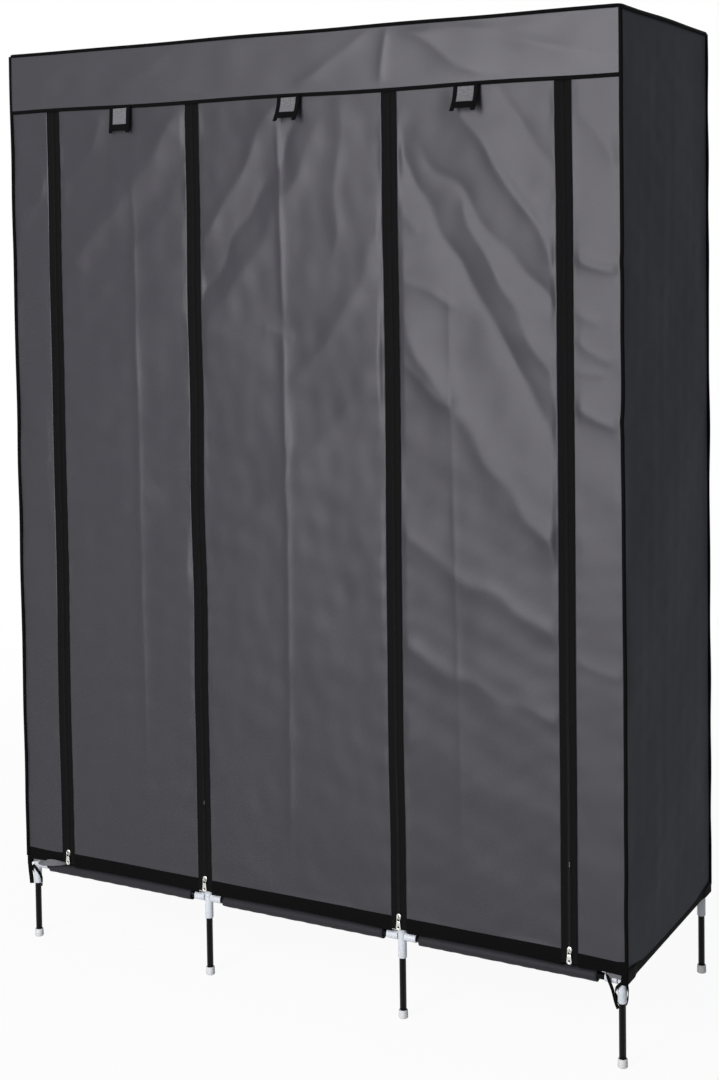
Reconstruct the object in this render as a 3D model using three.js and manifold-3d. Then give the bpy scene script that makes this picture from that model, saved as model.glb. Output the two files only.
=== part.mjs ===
// Portable fabric wardrobe: a frame of steel tubes and plastic connectors under a sewn cover, with three
// roll-up doors between four zips, a fabric shelf along the bottom, one in the left bay and a hanging rail.
// Millimetres, +Z up, the front towards -Y, and the origin on the floor under the middle of the frame.

import * as THREE from 'three';
import { mergeVertices } from 'three/addons/utils/BufferGeometryUtils.js';
import Module from 'manifold-3d';

const wasm = await Module();
wasm.setup();

// Driving sizes of the frame
const bay = 410; // from one upright to the next across the front, centre to centre
const frameDepth = 425; // from the front uprights to the back ones, centre to centre
const height = 1750; // from the floor to the top of the cover
const bottomRailHeight = 148; // from the floor to the axis of the bottom rails
const midShelfHeight = 944; // from the floor to the axis of the rails round the left bay's shelf
const hangingDrop = 16; // from the axis of the top rails down to the hanging rail's
const uprightsAcross = 4;

// Tubes, and the plastic connectors and feet that hold them
const tubeRadius = 6;
const tubeWall = 1;
const socketWall = 1.5;
const sideArm = 29; // from a connector's centre to the mouth of a socket for a rail
const legArm = 39; // down to the mouth of the socket for a leg
const upArm = 30;
const socketStop = 9; // from a connector's centre to the closed end of a socket for a rail
const footHeight = 15;
const footRadius = 8.6;
const footTopRadius = 8.1;
const footFloor = 3;
const clipLength = 22; // length of the clips that hang the hanging rail under the top rails

// Cloth
const clothThickness = 1.4;
const tapeThickness = 0.9; // the woven tape of a zip is thinner than the cloth beside it
const coverSlack = 3; // from the connectors out to the walls of the cover
const hemLift = 14; // from the axis of the bottom rails up to the cover's lower edge
const hemHeight = 20;
const hemThickness = 2.4;
const hemRise = 4; // the middle of a door's lower edge is drawn up by this much
const valanceDrop = 118; // from the top of the cover to the lower edge of the band above the doors
const bindingHeight = 10; // binding along the lower edge of that band
const bindingThickness = 2.2;
const foldDepth = 3; // how far the main folds stand out of a hanging cloth
const sleeveGap = 7; // bare tube between a connector and a shelf's sleeve
const deckLift = 0.2; // a shelf's cloth leaves its sleeves just above their inside
const deckNotchMargin = 5; // room round a connector in a shelf's corner

// Zips
const stripWidth = 99.5; // fixed cloth beside a door, from the side wall to the middle of the outer zip
const tapeWidth = 30;
const zipGap = 2.4; // between the two halves of a zip's tape, where the slider's post runs
const tapeRise = 2; // from the cover's lower edge up to the lower end of the zips' tape
const tapeLap = 1; // how far the cloth lies over a tape that is sewn to it
const sliderLength = 11;
const sliderWidth = 9;
const sliderTailWidth = 6;
const sliderPlate = 1.4;
const sliderRise = 19; // from the cover's lower edge up to the slider's lower end when the zip is shut
const postLength = 5;
const postWidth = 1.6;
const archWidth = 2.2;
const archHole = 1.5; // inside radius of the arch that the pull hangs on
const archWall = 1.5;
const pullWidth = 9.2; // across the round end of a pull
const pullNeckWidth = 6.4;
const pullNeckLength = 8; // from the pull's bar to where it starts to widen
const pullLength = 24; // from the pull's bar to its lower end
const pullThickness = 1.2;
const pullWindowWidth = 4;
const pullWindowLength = 6;
const pullHoleWidth = 3.4;
const pullHoleLength = 4.4;
const pullHoleMargin = 3.3;

// Loops that tie up the rolled doors
const tabWidth = 47;
const tabHeight = 49;
const tabLap = 5; // how far a loop reaches up over the binding that it is sewn to
const tabBand = 8.5;
const tabBar = 9;
const tabTail = 4; // how far the bands' ends hang below the bar
const tabThickness = 2;
const tabPatchThickness = 1;
const tabStandOut = 8; // how far a loop's lower end stands off the front

// Clearances and counts
const fitGap = 0.3; // between pieces that touch
const roundSides = 12;
const cutOverrun = 1; // how far a cutting shape runs past what it cuts

// Sizes that follow from those above
const socketRadius = tubeRadius + fitGap + socketWall;
const boreRadius = tubeRadius + fitGap;
const frontRow = -frameDepth / 2;
const backRow = frameDepth / 2;
const columnPlaces = Array.from({ length: uprightsAcross }, (_, i) => (i - (uprightsAcross - 1) / 2) * bay);
const frameEnd = columnPlaces[uprightsAcross - 1];
const innerZip = columnPlaces[uprightsAcross - 2];
const wallTop = height - clothThickness - fitGap;
const topRailHeight = wallTop - socketRadius;
const hangingHeight = topRailHeight - hangingDrop;
const sideWall = frameEnd + socketRadius + coverSlack + clothThickness / 2; // middle of the side walls' cloth
const frontWall = backRow + socketRadius + coverSlack + clothThickness / 2; // middle of the doors' cloth
const outerSide = sideWall + clothThickness / 2;
const outerFront = frontWall + clothThickness / 2;
const outerZip = sideWall - stripWidth;
const hemBottom = bottomRailHeight + hemLift;
const valanceBottom = height - valanceDrop;
const valanceBack = outerFront + fitGap;
const doorTop = valanceBottom + bindingHeight;
const zipPlaces = [-outerZip, -innerZip, innerZip, outerZip];
const halfTape = (tapeWidth - zipGap) / 2;
const tapeBottom = hemBottom + tapeRise;
const sliderBottom = hemBottom + sliderRise;
const railLength = bay - 2 * (socketStop + fitGap);
const depthRailLength = frameDepth - 2 * (socketStop + fitGap);

const materials = {
  tube: { color: 0x1b1b1d, roughness: 0.45, metalness: 0.3 },
  connector: { color: 0xc6c9cc, roughness: 0.5, metalness: 0 },
  cloth: { color: 0x5c5c5e, roughness: 0.8, metalness: 0 },
  sideCloth: { color: 0x3a3b3e, roughness: 0.85, metalness: 0 },
  shelfCloth: { color: 0x3c3c3f, roughness: 0.85, metalness: 0 },
  binding: { color: 0x131315, roughness: 0.8, metalness: 0 },
  zipMetal: { color: 0xb4b6b8, roughness: 0.3, metalness: 1 },
};

const wardrobe = new THREE.Group();
wardrobe.name = 'portable_fabric_wardrobe';

// Adds a named piece with a material of its own
function addPiece(name, geometry, finish) {
  const mesh = new THREE.Mesh(geometry, new THREE.MeshStandardMaterial(materials[finish]));
  mesh.name = name;
  wardrobe.add(mesh);
  return mesh;
}

// A closed geometry as a solid that can be cut and joined
function solidOf(geometry) {
  const bare = geometry.index ? geometry.toNonIndexed() : geometry.clone();
  bare.deleteAttribute('normal');
  bare.deleteAttribute('uv');
  const merged = mergeVertices(bare);
  return new wasm.Manifold(new wasm.Mesh({
    numProp: 3,
    vertProperties: new Float32Array(merged.attributes.position.array),
    triVerts: new Uint32Array(merged.index.array),
  }));
}

// A solid as a geometry to show
function geometryOf(solid) {
  const mesh = solid.getMesh();
  const geometry = new THREE.BufferGeometry();
  geometry.setAttribute('position', new THREE.BufferAttribute(new Float32Array(mesh.vertProperties), mesh.numProp));
  geometry.setIndex(new THREE.BufferAttribute(new Uint32Array(mesh.triVerts), 1));
  geometry.computeVertexNormals();
  return geometry;
}

// One solid from many
function joined(solids) {
  return solids.reduce((whole, next) => whole.add(next));
}

// The first solid without the others
function without(solid, cuts) {
  return cuts.reduce((left, cut) => left.subtract(cut), solid);
}

// Turns a geometry made along Z so that it runs along the named axis
function turnedTo(geometry, axis) {
  if (axis === 'x') geometry.rotateY(Math.PI / 2);
  if (axis === 'y') geometry.rotateX(-Math.PI / 2);
  return geometry;
}

// A full cylinder from one place to another along an axis, around a point
function rod(radius, axis, from, to, centre) {
  const geometry = new THREE.CylinderGeometry(radius, radius, to - from, roundSides);
  geometry.rotateX(Math.PI / 2);
  geometry.translate(0, 0, (from + to) / 2);
  return turnedTo(geometry, axis).translate(...centre);
}

// A length of tube, open at both ends, made by turning the outline of its wall
function tube(outer, inner, axis, from, to, centre) {
  const wall = [[inner, from], [outer, from], [outer, to], [inner, to], [inner, from]];
  const geometry = new THREE.LatheGeometry(wall.map(([r, z]) => new THREE.Vector2(r, z)), roundSides);
  geometry.rotateX(Math.PI / 2);
  return turnedTo(geometry, axis).translate(...centre);
}

// A block between two opposite corners
function block(low, high) {
  const size = high.map((value, i) => value - low[i]);
  return new THREE.BoxGeometry(...size).translate(...low.map((value, i) => value + size[i] / 2));
}

// A flat outline drawn in X and Y, given a length along Z
function prism(shape, length) {
  return new THREE.ExtrudeGeometry(shape, { depth: length, bevelEnabled: false, curveSegments: roundSides / 4 });
}

// An outline through the given corners
function outline(corners) {
  return new THREE.Shape(corners.map(([x, y]) => new THREE.Vector2(x, y)));
}

// A cap with a blind hole for the end of an upright, slightly narrower at its top
function makeFoot(name, x, y) {
  const profile = [
    [0, 0], [footRadius, 0], [footTopRadius, footHeight], [boreRadius, footHeight], [boreRadius, footFloor],
    [0, footFloor],
  ];
  const geometry = new THREE.LatheGeometry(profile.map(([r, z]) => new THREE.Vector2(r, z)), roundSides);
  geometry.rotateX(Math.PI / 2);
  addPiece(name, geometry.translate(x, y, 0), 'connector');
}

// One upright tube from its foot cap through the connectors to the top rail
function makeUpright(name, x, y) {
  const top = topRailHeight - socketRadius - fitGap;
  const geometry = tube(tubeRadius, tubeRadius - tubeWall, 'z', footFloor + fitGap, top, [x, y, 0]);
  addPiece(name, geometry, 'tube');
}

// A connector of the bottom frame: a sleeve that an upright passes through, and a socket for each rail
function makeBottomConnector(name, x, y, sidesAlongX, sideAlongY) {
  const centre = [x, y, bottomRailHeight];
  const arms = [rod(socketRadius, 'z', -legArm, upArm, centre)];
  const bores = [rod(boreRadius, 'z', -legArm - cutOverrun, upArm + cutOverrun, centre)];
  for (const side of sidesAlongX) {
    arms.push(armRod(socketRadius, 'x', side, 0, sideArm, centre));
    bores.push(armRod(boreRadius, 'x', side, socketStop, sideArm + cutOverrun, centre));
  }
  arms.push(armRod(socketRadius, 'y', sideAlongY, 0, sideArm, centre));
  bores.push(armRod(boreRadius, 'y', sideAlongY, socketStop, sideArm + cutOverrun, centre));
  addPiece(name, geometryOf(without(joined(arms.map(solidOf)), bores.map(solidOf))), 'connector');
}

// A cylinder on one side of a centre, from a near to a far distance along an axis
function armRod(radius, axis, side, near, far, centre) {
  return side > 0 ? rod(radius, axis, near, far, centre) : rod(radius, axis, -far, -near, centre);
}

// A whole row of rails along X with its connectors: one hollow bar with a sleeve round each upright and a
// socket for each rail that runs from front to back
function makeRailRow(name, y, z, low, high, through, sideAlongY) {
  const end = frameEnd + socketRadius;
  const solids = [rod(tubeRadius, 'x', -end, end, [0, y, z])];
  const cuts = [rod(tubeRadius - tubeWall, 'x', -end - cutOverrun, end + cutOverrun, [0, y, z])];
  for (const x of columnPlaces) {
    const centre = [x, y, z];
    const left = x === columnPlaces[0] ? socketRadius : sideArm;
    const right = x === frameEnd ? socketRadius : sideArm;
    solids.push(rod(socketRadius, 'x', -left, right, centre));
    solids.push(rod(socketRadius, 'z', low, high, centre));
    solids.push(armRod(socketRadius, 'y', sideAlongY, 0, sideArm, centre));
    cuts.push(rod(boreRadius, 'z', low - cutOverrun, through ? high + cutOverrun : -socketRadius, centre));
    cuts.push(armRod(boreRadius, 'y', sideAlongY, socketStop, sideArm + cutOverrun, centre));
  }
  addPiece(name, geometryOf(without(joined(solids.map(solidOf)), cuts.map(solidOf))), 'tube');
}

// A rail from the front of the frame to the back
function makeDepthRail(name, x, z) {
  const reach = depthRailLength / 2;
  addPiece(name, tube(tubeRadius, tubeRadius - tubeWall, 'y', -reach, reach, [x, 0, z]), 'tube');
}

// Four rails and four corner sleeves in one ring, round the left bay at the height of its shelf
function makeMidShelfFrame() {
  const z = midShelfHeight;
  const [left, right] = columnPlaces;
  const solids = [];
  const cuts = [];
  for (const y of [frontRow, backRow]) {
    solids.push(rod(tubeRadius, 'x', left, right, [0, y, z]));
    cuts.push(rod(tubeRadius - tubeWall, 'x', left, right, [0, y, z]));
  }
  for (const x of [left, right]) {
    solids.push(rod(tubeRadius, 'y', frontRow, backRow, [x, 0, z]));
    cuts.push(rod(tubeRadius - tubeWall, 'y', frontRow, backRow, [x, 0, z]));
    for (const y of [frontRow, backRow]) {
      const centre = [x, y, z];
      solids.push(armRod(socketRadius, 'x', x === left ? 1 : -1, 0, sideArm, centre));
      solids.push(armRod(socketRadius, 'y', y === frontRow ? 1 : -1, 0, sideArm, centre));
      solids.push(rod(socketRadius, 'z', -upArm, upArm, centre));
      cuts.push(rod(boreRadius, 'z', -upArm - cutOverrun, upArm + cutOverrun, centre));
    }
  }
  addPiece('mid_shelf_frame', geometryOf(without(joined(solids.map(solidOf)), cuts.map(solidOf))), 'tube');
}

// The rod for hangers across the middle and right bays, hung from the top rails by a clip at each
function makeHangingRail() {
  const places = columnPlaces.slice(1);
  const from = places[0] - socketRadius;
  const to = frameEnd + socketRadius;
  const solids = [rod(tubeRadius, 'x', from, to, [0, 0, hangingHeight])];
  const cuts = [rod(tubeRadius - tubeWall, 'x', from - cutOverrun, to + cutOverrun, [0, 0, hangingHeight])];
  for (const x of places) {
    solids.push(rod(socketRadius, 'y', -clipLength / 2, clipLength / 2, [x, 0, topRailHeight]));
    solids.push(rod(socketRadius, 'z', hangingHeight, topRailHeight, [x, 0, 0]));
    cuts.push(rod(boreRadius, 'y', -clipLength, clipLength, [x, 0, topRailHeight]));
  }
  addPiece('hanging_rail', geometryOf(without(joined(solids.map(solidOf)), cuts.map(solidOf))), 'tube');
}

// A shelf of cloth over the bays between the given uprights: a sleeve sewn round the front and back rail in
// each bay, and one sheet between them that lies on the rails below and is cut out round the connectors
function makeShelf(name, columns, z) {
  const first = columns[0];
  const last = columns[columns.length - 1];
  const sheetBottom = z + boreRadius + deckLift;
  const side = tubeRadius;
  const sheet = block([first - side, frontRow, sheetBottom], [last + side, backRow, sheetBottom + clothThickness]);
  const notchX = sideArm + sleeveGap;
  const notchY = sideArm + deckNotchMargin;
  const sleeves = [];
  const notches = [];
  for (const y of [frontRow, backRow]) {
    for (const x of columns) {
      const low = [x - notchX, y - notchY, sheetBottom - cutOverrun];
      const high = [x + notchX, y + notchY, sheetBottom + clothThickness + cutOverrun];
      notches.push(solidOf(block(low, high)));
    }
    for (const x of columns.slice(1)) {
      const from = x - bay + notchX;
      const to = x - notchX;
      sleeves.push(solidOf(tube(boreRadius + clothThickness, boreRadius, 'x', from, to, [0, y, z])));
    }
  }
  addPiece(name, geometryOf(joined([without(solidOf(sheet), notches), ...sleeves])), 'shelfCloth');
}

// A closed sheet of cloth that hangs across X, from a grid of columns and rows. Its outer face looks to -Y, and
// a function of the two shares gives how far it stands out.
function hangingCloth(columns, rows, low, high, wallPlace, standOut) {
  const width = columns[columns.length - 1] - columns[0];
  const positions = [];
  for (const face of [-1, 1]) {
    for (let j = 0; j <= rows; j++) {
      const upShare = j / rows;
      columns.forEach((x) => {
        const out = standOut((x - columns[0]) / width, upShare);
        positions.push(x, wallPlace - out + face * clothThickness / 2, low + (high - low) * upShare);
      });
    }
  }
  const across = columns.length;
  const layer = across * (rows + 1);
  const index = [];
  const quad = (a, b, c, d) => index.push(a, b, c, a, c, d);
  for (let j = 0; j < rows; j++) {
    for (let i = 0; i < across - 1; i++) {
      const a = j * across + i;
      quad(a, a + 1, a + across + 1, a + across);
      quad(layer + a, layer + a + across, layer + a + across + 1, layer + a + 1);
    }
    const left = j * across;
    const right = left + across - 1;
    quad(left, left + across, layer + left + across, layer + left);
    quad(right, layer + right, layer + right + across, right + across);
  }
  for (let i = 0; i < across - 1; i++) {
    const top = rows * across + i;
    quad(i, layer + i, layer + i + 1, i + 1);
    quad(top, top + 1, layer + top + 1, layer + top);
  }
  const geometry = new THREE.BufferGeometry();
  geometry.setAttribute('position', new THREE.BufferAttribute(new Float32Array(positions), 3));
  geometry.setIndex(index);
  geometry.computeVertexNormals();
  return geometry;
}

// How far soft slanting folds stand out: a slow wave up the cloth that leans across it, fading to nothing at
// all four edges, where the cloth is sewn or held
function slantingFolds(wavesUp, wavesAcross, phase) {
  return (across, up) => {
    const held = Math.sin(Math.PI * across) * Math.min(1, Math.sin(Math.PI * up) * 2);
    return foldDepth * held * (1 + Math.cos(2 * Math.PI * (wavesUp * up + wavesAcross * across + phase))) / 2;
  };
}

// Evenly spaced places from one to another
function spaced(from, to, count) {
  return Array.from({ length: count + 1 }, (_, i) => from + (to - from) * i / count);
}

// Half of a zip's tape, from one place across to another
function tapeHalf(from, to) {
  const low = [from, -frontWall - tapeThickness / 2, tapeBottom];
  return block(low, [to, -frontWall + tapeThickness / 2, doorTop]);
}

// A door between two zips: its cloth above the hem, with half a zip's tape sewn along each side. The tapes run
// on down beside the hem
function makeDoor(name, leftZip, rightZip, folds) {
  const left = leftZip + zipGap / 2;
  const right = rightZip - zipGap / 2;
  const low = hemBottom + hemHeight + hemRise + fitGap;
  const columns = spaced(left + halfTape - tapeLap, right - halfTape + tapeLap, 11);
  const cloth = hangingCloth(columns, 20, low, doorTop, -frontWall, folds);
  const tapes = [tapeHalf(left, left + halfTape), tapeHalf(right - halfTape, right)];
  addPiece(name, geometryOf(joined([cloth, ...tapes].map(solidOf))), 'cloth');
}

// The stiff black band at a door's lower edge, drawn up a little along its middle
function makeDoorHem(name, leftZip, rightZip) {
  const left = leftZip + tapeWidth / 2 + fitGap;
  const right = rightZip - tapeWidth / 2 - fitGap;
  const middle = (left + right) / 2;
  const top = hemBottom + hemHeight + hemRise;
  const shape = new THREE.Shape();
  shape.moveTo(left, hemBottom);
  shape.quadraticCurveTo(middle, hemBottom + 2 * hemRise, right, hemBottom);
  shape.lineTo(right, top);
  shape.lineTo(left, top);
  shape.closePath();
  const geometry = prism(shape, hemThickness).rotateX(Math.PI / 2);
  addPiece(name, geometry.translate(0, -frontWall + hemThickness / 2, 0), 'binding');
}

// A side of the cover, right (1) or left (-1): its wall, and the fixed strip that it turns into at the front,
// with the outer half of a zip's tape
function makeCoverSide(name, side, folds) {
  const low = hemBottom;
  const wall = hangingCloth(spaced(-outerFront, outerFront, 8), 14, low, wallTop, -sideWall, folds);
  wall.rotateZ(side * Math.PI / 2);
  const stripFrom = outerZip + zipGap / 2 + halfTape;
  const strip = block([stripFrom, -outerFront, low], [outerSide, -frontWall + clothThickness / 2, wallTop]);
  const tape = tapeHalf(outerZip + zipGap / 2, stripFrom + tapeLap);
  if (side < 0) {
    strip.translate(-stripFrom - outerSide, 0, 0);
    tape.translate(-(outerZip + zipGap / 2) - (stripFrom + tapeLap), 0, 0);
  }
  addPiece(name, geometryOf(joined([wall, strip, tape].map(solidOf))), 'sideCloth');
}

// The back of the cover, between its sides
function makeCoverBack() {
  const reach = sideWall - clothThickness / 2 - fitGap;
  const wall = hangingCloth(spaced(-reach, reach, 12), 10, hemBottom, wallTop, -frontWall,
    slantingFolds(2, 1.5, 0.4));
  addPiece('cover_back', wall.rotateZ(Math.PI), 'cloth');
}

// The top of the cover, one sheet that lies on the top connectors and on the walls
function makeCoverTop() {
  const front = -valanceBack - clothThickness;
  const sheet = block([-outerSide, front, height - clothThickness], [outerSide, outerFront, height]);
  addPiece('cover_top', sheet, 'cloth');
}

// The fixed band above the doors, with a thicker binding along its lower edge
function makeValance() {
  const face = valanceBack + clothThickness;
  const bindingFace = valanceBack + bindingThickness;
  const section = outline([
    [-valanceBack, valanceBottom], [-valanceBack, wallTop], [-face, wallTop], [-face, doorTop],
    [-bindingFace, doorTop], [-bindingFace, valanceBottom],
  ]);
  const geometry = prism(section, 2 * outerSide);
  geometry.rotateX(Math.PI / 2).rotateZ(Math.PI / 2);
  addPiece('front_valance', geometry.translate(-outerSide, 0, 0), 'cloth');
}

// The side outline of a hanging loop, a strip of the given thickness that curves out towards its lower end,
// from one share of the way down to another
function tabSection(thickness, fromShare, toShare) {
  const middle = tabThickness / 2;
  const shares = spaced(fromShare, toShare, 4);
  const place = (share, offset) => [tabStandOut * share * share + middle + offset, -tabHeight * share];
  const back = shares.map((share) => place(share, -thickness / 2));
  const front = shares.map((share) => place(share, thickness / 2)).reverse();
  return outline([...back, ...front]);
}

// A loop for a rolled door, hanging from the binding: two side bands, a bar across them and a thinner patch
function makeTieTab(name, x) {
  const barEnd = 1 - tabTail / tabHeight;
  const barStart = barEnd - tabBar / tabHeight;
  const strips = [
    [tabSection(tabThickness, 0, 1), -tabWidth / 2, tabBand],
    [tabSection(tabThickness, 0, 1), tabWidth / 2 - tabBand, tabBand],
    [tabSection(tabThickness, barStart, barEnd), -tabWidth / 2, tabWidth],
    [tabSection(tabPatchThickness, 0, barEnd), -tabWidth / 2, tabWidth],
  ];
  const solids = strips.map(([section, from, length]) => {
    const geometry = prism(section, length).rotateX(Math.PI / 2).rotateZ(-Math.PI / 2);
    return solidOf(geometry.translate(from + length, 0, 0));
  });
  const geometry = geometryOf(joined(solids));
  const face = valanceBack + bindingThickness + fitGap;
  addPiece(name, geometry.translate(x, -face, valanceBottom + tabLap), 'binding');
}

// The outline of a slider's plate, which narrows towards its tail
function sliderOutline() {
  const shoulder = sliderLength - sliderWidth / 2;
  const shape = new THREE.Shape();
  shape.moveTo(-sliderTailWidth / 2, 0);
  shape.lineTo(sliderTailWidth / 2, 0);
  shape.lineTo(sliderWidth / 2, shoulder);
  shape.quadraticCurveTo(sliderWidth / 2, sliderLength, 0, sliderLength);
  shape.quadraticCurveTo(-sliderWidth / 2, sliderLength, -sliderWidth / 2, shoulder);
  shape.closePath();
  return shape;
}

// The height of a pull's pivot on its slider
const pivotHeight = sliderBottom + sliderLength / 2;
const sliderFace = frontWall + tapeThickness / 2 + fitGap + sliderPlate; // outer face of a slider's front plate
const pivotPlace = sliderFace + archHole;

// A zip's slider: a plate in front of the tape and one behind it, a post between the tape's halves that
// joins them, and an arch on the front that the pull hangs on
function makeSlider(name, x) {
  const backPlate = -frontWall + tapeThickness / 2 + fitGap + sliderPlate;
  const plate = (from) => prism(sliderOutline(), sliderPlate).rotateX(Math.PI / 2).translate(x, from, sliderBottom);
  const post = block([x - postWidth / 2, -sliderFace + sliderPlate / 2, pivotHeight - postLength / 2],
    [x + postWidth / 2, backPlate - sliderPlate / 2, pivotHeight + postLength / 2]);
  const arch = new THREE.Shape();
  const reach = archHole + archWall;
  arch.moveTo(sliderPlate / 2, -reach);
  arch.lineTo(-archHole, -reach);
  arch.absarc(-archHole, 0, reach, -Math.PI / 2, -3 * Math.PI / 2, true);
  arch.lineTo(sliderPlate / 2, reach);
  arch.closePath();
  const eye = new THREE.Path();
  eye.absarc(-archHole, 0, archHole, 0, 2 * Math.PI, false);
  arch.holes.push(eye);
  const archSolid = prism(arch, archWidth).rotateX(Math.PI / 2).rotateZ(Math.PI / 2);
  archSolid.translate(x - archWidth / 2, -sliderFace, pivotHeight);
  const solids = [plate(-sliderFace + sliderPlate), plate(backPlate), post, archSolid].map(solidOf);
  addPiece(name, geometryOf(joined(solids)), 'zipMetal');
}

// A zip's pull: a plate with a window that leaves a bar under the slider's arch. It widens from its neck to a
// round end with an oval hole to grip
function makePull(name, x) {
  const half = pullWidth / 2;
  const neck = pullNeckWidth / 2;
  const bar = pullThickness / 2;
  const shape = new THREE.Shape();
  shape.moveTo(-neck, bar);
  shape.lineTo(-neck, -pullNeckLength);
  shape.lineTo(-half, half - pullLength);
  shape.absarc(0, half - pullLength, half, Math.PI, 2 * Math.PI, false);
  shape.lineTo(neck, -pullNeckLength);
  shape.lineTo(neck, bar);
  shape.closePath();
  const windowHalf = pullWindowWidth / 2;
  const window = [[-windowHalf, -bar], [-windowHalf, -pullWindowLength], [windowHalf, -pullWindowLength],
    [windowHalf, -bar]];
  shape.holes.push(new THREE.Path(window.map(([px, pz]) => new THREE.Vector2(px, pz))));
  const holeRadius = pullHoleWidth / 2;
  const low = pullHoleMargin + holeRadius - pullLength;
  const high = low + pullHoleLength - pullHoleWidth;
  const hole = new THREE.Path();
  hole.absarc(0, low, holeRadius, Math.PI, 2 * Math.PI, false);
  hole.absarc(0, high, holeRadius, 0, Math.PI, false);
  hole.closePath();
  shape.holes.push(hole);
  const geometry = prism(shape, pullThickness).rotateX(Math.PI / 2);
  addPiece(name, geometry.translate(x, -pivotPlace + pullThickness / 2, pivotHeight), 'zipMetal');
}

// Frame
columnPlaces.forEach((x, i) => {
  const number = i + 1;
  const sides = [-1, 1].filter((side) => Math.abs(x + side * bay) < frameEnd + bay / 2);
  makeFoot(`foot_front_${number}`, x, frontRow);
  makeFoot(`foot_back_${number}`, x, backRow);
  makeUpright(`upright_front_${number}`, x, frontRow);
  makeUpright(`upright_back_${number}`, x, backRow);
  makeBottomConnector(`connector_front_${number}`, x, frontRow, sides, 1);
  makeDepthRail(`bottom_depth_rail_${number}`, x, bottomRailHeight);
  makeDepthRail(`top_depth_rail_${number}`, x, topRailHeight);
});
columnPlaces.slice(1).forEach((x, i) => {
  const middle = x - bay / 2;
  const reach = railLength / 2;
  const rail = tube(tubeRadius, tubeRadius - tubeWall, 'x', -reach, reach, [middle, frontRow, bottomRailHeight]);
  addPiece(`bottom_front_rail_${i + 1}`, rail, 'tube');
});
makeRailRow('bottom_back_rail', backRow, bottomRailHeight, -legArm, upArm, true, -1);
makeRailRow('top_front_rail', frontRow, topRailHeight, -sideArm, 0, false, 1);
makeRailRow('top_back_rail', backRow, topRailHeight, -sideArm, 0, false, -1);
makeMidShelfFrame();
makeHangingRail();

// Shelves
makeShelf('bottom_shelf', columnPlaces, bottomRailHeight);
makeShelf('mid_shelf', columnPlaces.slice(0, 2), midShelfHeight);

// Cover
makeCoverTop();
makeCoverBack();
makeCoverSide('cover_left_side', -1, slantingFolds(3, 0.5, 0.2));
makeCoverSide('cover_right_side', 1, slantingFolds(2.5, -0.6, 0.1));
makeValance();

// Doors, their hems and the loops that tie them up
const doorNames = ['left', 'middle', 'right'];
const doorFolds = [slantingFolds(4, -0.8, 0), slantingFolds(3.5, -0.9, 0.3), slantingFolds(4.5, 0.7, 0.6)];
doorNames.forEach((place, i) => {
  const [leftZip, rightZip] = zipPlaces.slice(i, i + 2);
  makeDoor(`${place}_door`, leftZip, rightZip, doorFolds[i]);
  makeDoorHem(`${place}_door_hem`, leftZip, rightZip);
  makeTieTab(`${place}_tie_tab`, (leftZip + rightZip) / 2);
});

// Zips
zipPlaces.forEach((x, i) => {
  makeSlider(`zip_slider_${i + 1}`, x);
  makePull(`zip_pull_${i + 1}`, x);
});

export default wardrobe;
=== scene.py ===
"""Portable fabric wardrobe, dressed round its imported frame.

Metres, +Z up, the front towards -Y. Every place comes from the frame. The pieces made here are the fine
surfaces: tubes with rims, moulded connectors, cloth with its folds, piping, woven tape, zips and tie loops.
"""
import math

import bmesh
import bpy
import numpy as np
from bpy.props import FloatProperty, FloatVectorProperty, PointerProperty
from mathutils import Matrix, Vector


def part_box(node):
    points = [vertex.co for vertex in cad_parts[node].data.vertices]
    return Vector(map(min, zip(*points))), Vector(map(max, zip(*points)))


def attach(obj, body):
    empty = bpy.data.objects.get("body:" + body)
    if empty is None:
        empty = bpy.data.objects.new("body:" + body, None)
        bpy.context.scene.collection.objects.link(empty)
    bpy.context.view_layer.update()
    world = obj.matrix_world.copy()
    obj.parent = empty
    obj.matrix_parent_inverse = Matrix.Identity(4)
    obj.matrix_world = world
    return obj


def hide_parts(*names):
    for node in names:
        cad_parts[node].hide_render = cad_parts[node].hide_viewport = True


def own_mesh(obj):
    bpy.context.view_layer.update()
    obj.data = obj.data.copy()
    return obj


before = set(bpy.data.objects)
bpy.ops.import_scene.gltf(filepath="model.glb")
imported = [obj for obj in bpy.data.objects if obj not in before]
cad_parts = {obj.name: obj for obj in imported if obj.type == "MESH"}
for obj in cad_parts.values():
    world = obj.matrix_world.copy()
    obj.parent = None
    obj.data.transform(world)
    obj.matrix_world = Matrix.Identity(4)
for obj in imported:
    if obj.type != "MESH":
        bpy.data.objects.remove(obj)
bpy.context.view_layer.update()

bl_info = {
    "name": "Portable fabric wardrobe",
    "version": (1, 0, 0),
    "blender": (4, 5, 0),
    "location": "3D View > Sidebar > Wardrobe",
    "description": "Builds a fabric wardrobe with roll-up doors round its frame",
    "category": "Add Mesh",
}

MM = 0.001
FLAT_MAP = "cloth_metres"  # the map that holds each point's place on the flat cloth, in metres


# Places taken from the frame

def low(node):
    """The lowest corner of a node's box."""
    return np.array(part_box(node)[0])


def high(node):
    """The highest corner of a node's box."""
    return np.array(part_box(node)[1])


def middle(node):
    """The middle of a node's box."""
    return (low(node) + high(node)) / 2


def span(node):
    """The width, depth and height of a node's box."""
    return high(node) - low(node)


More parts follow.
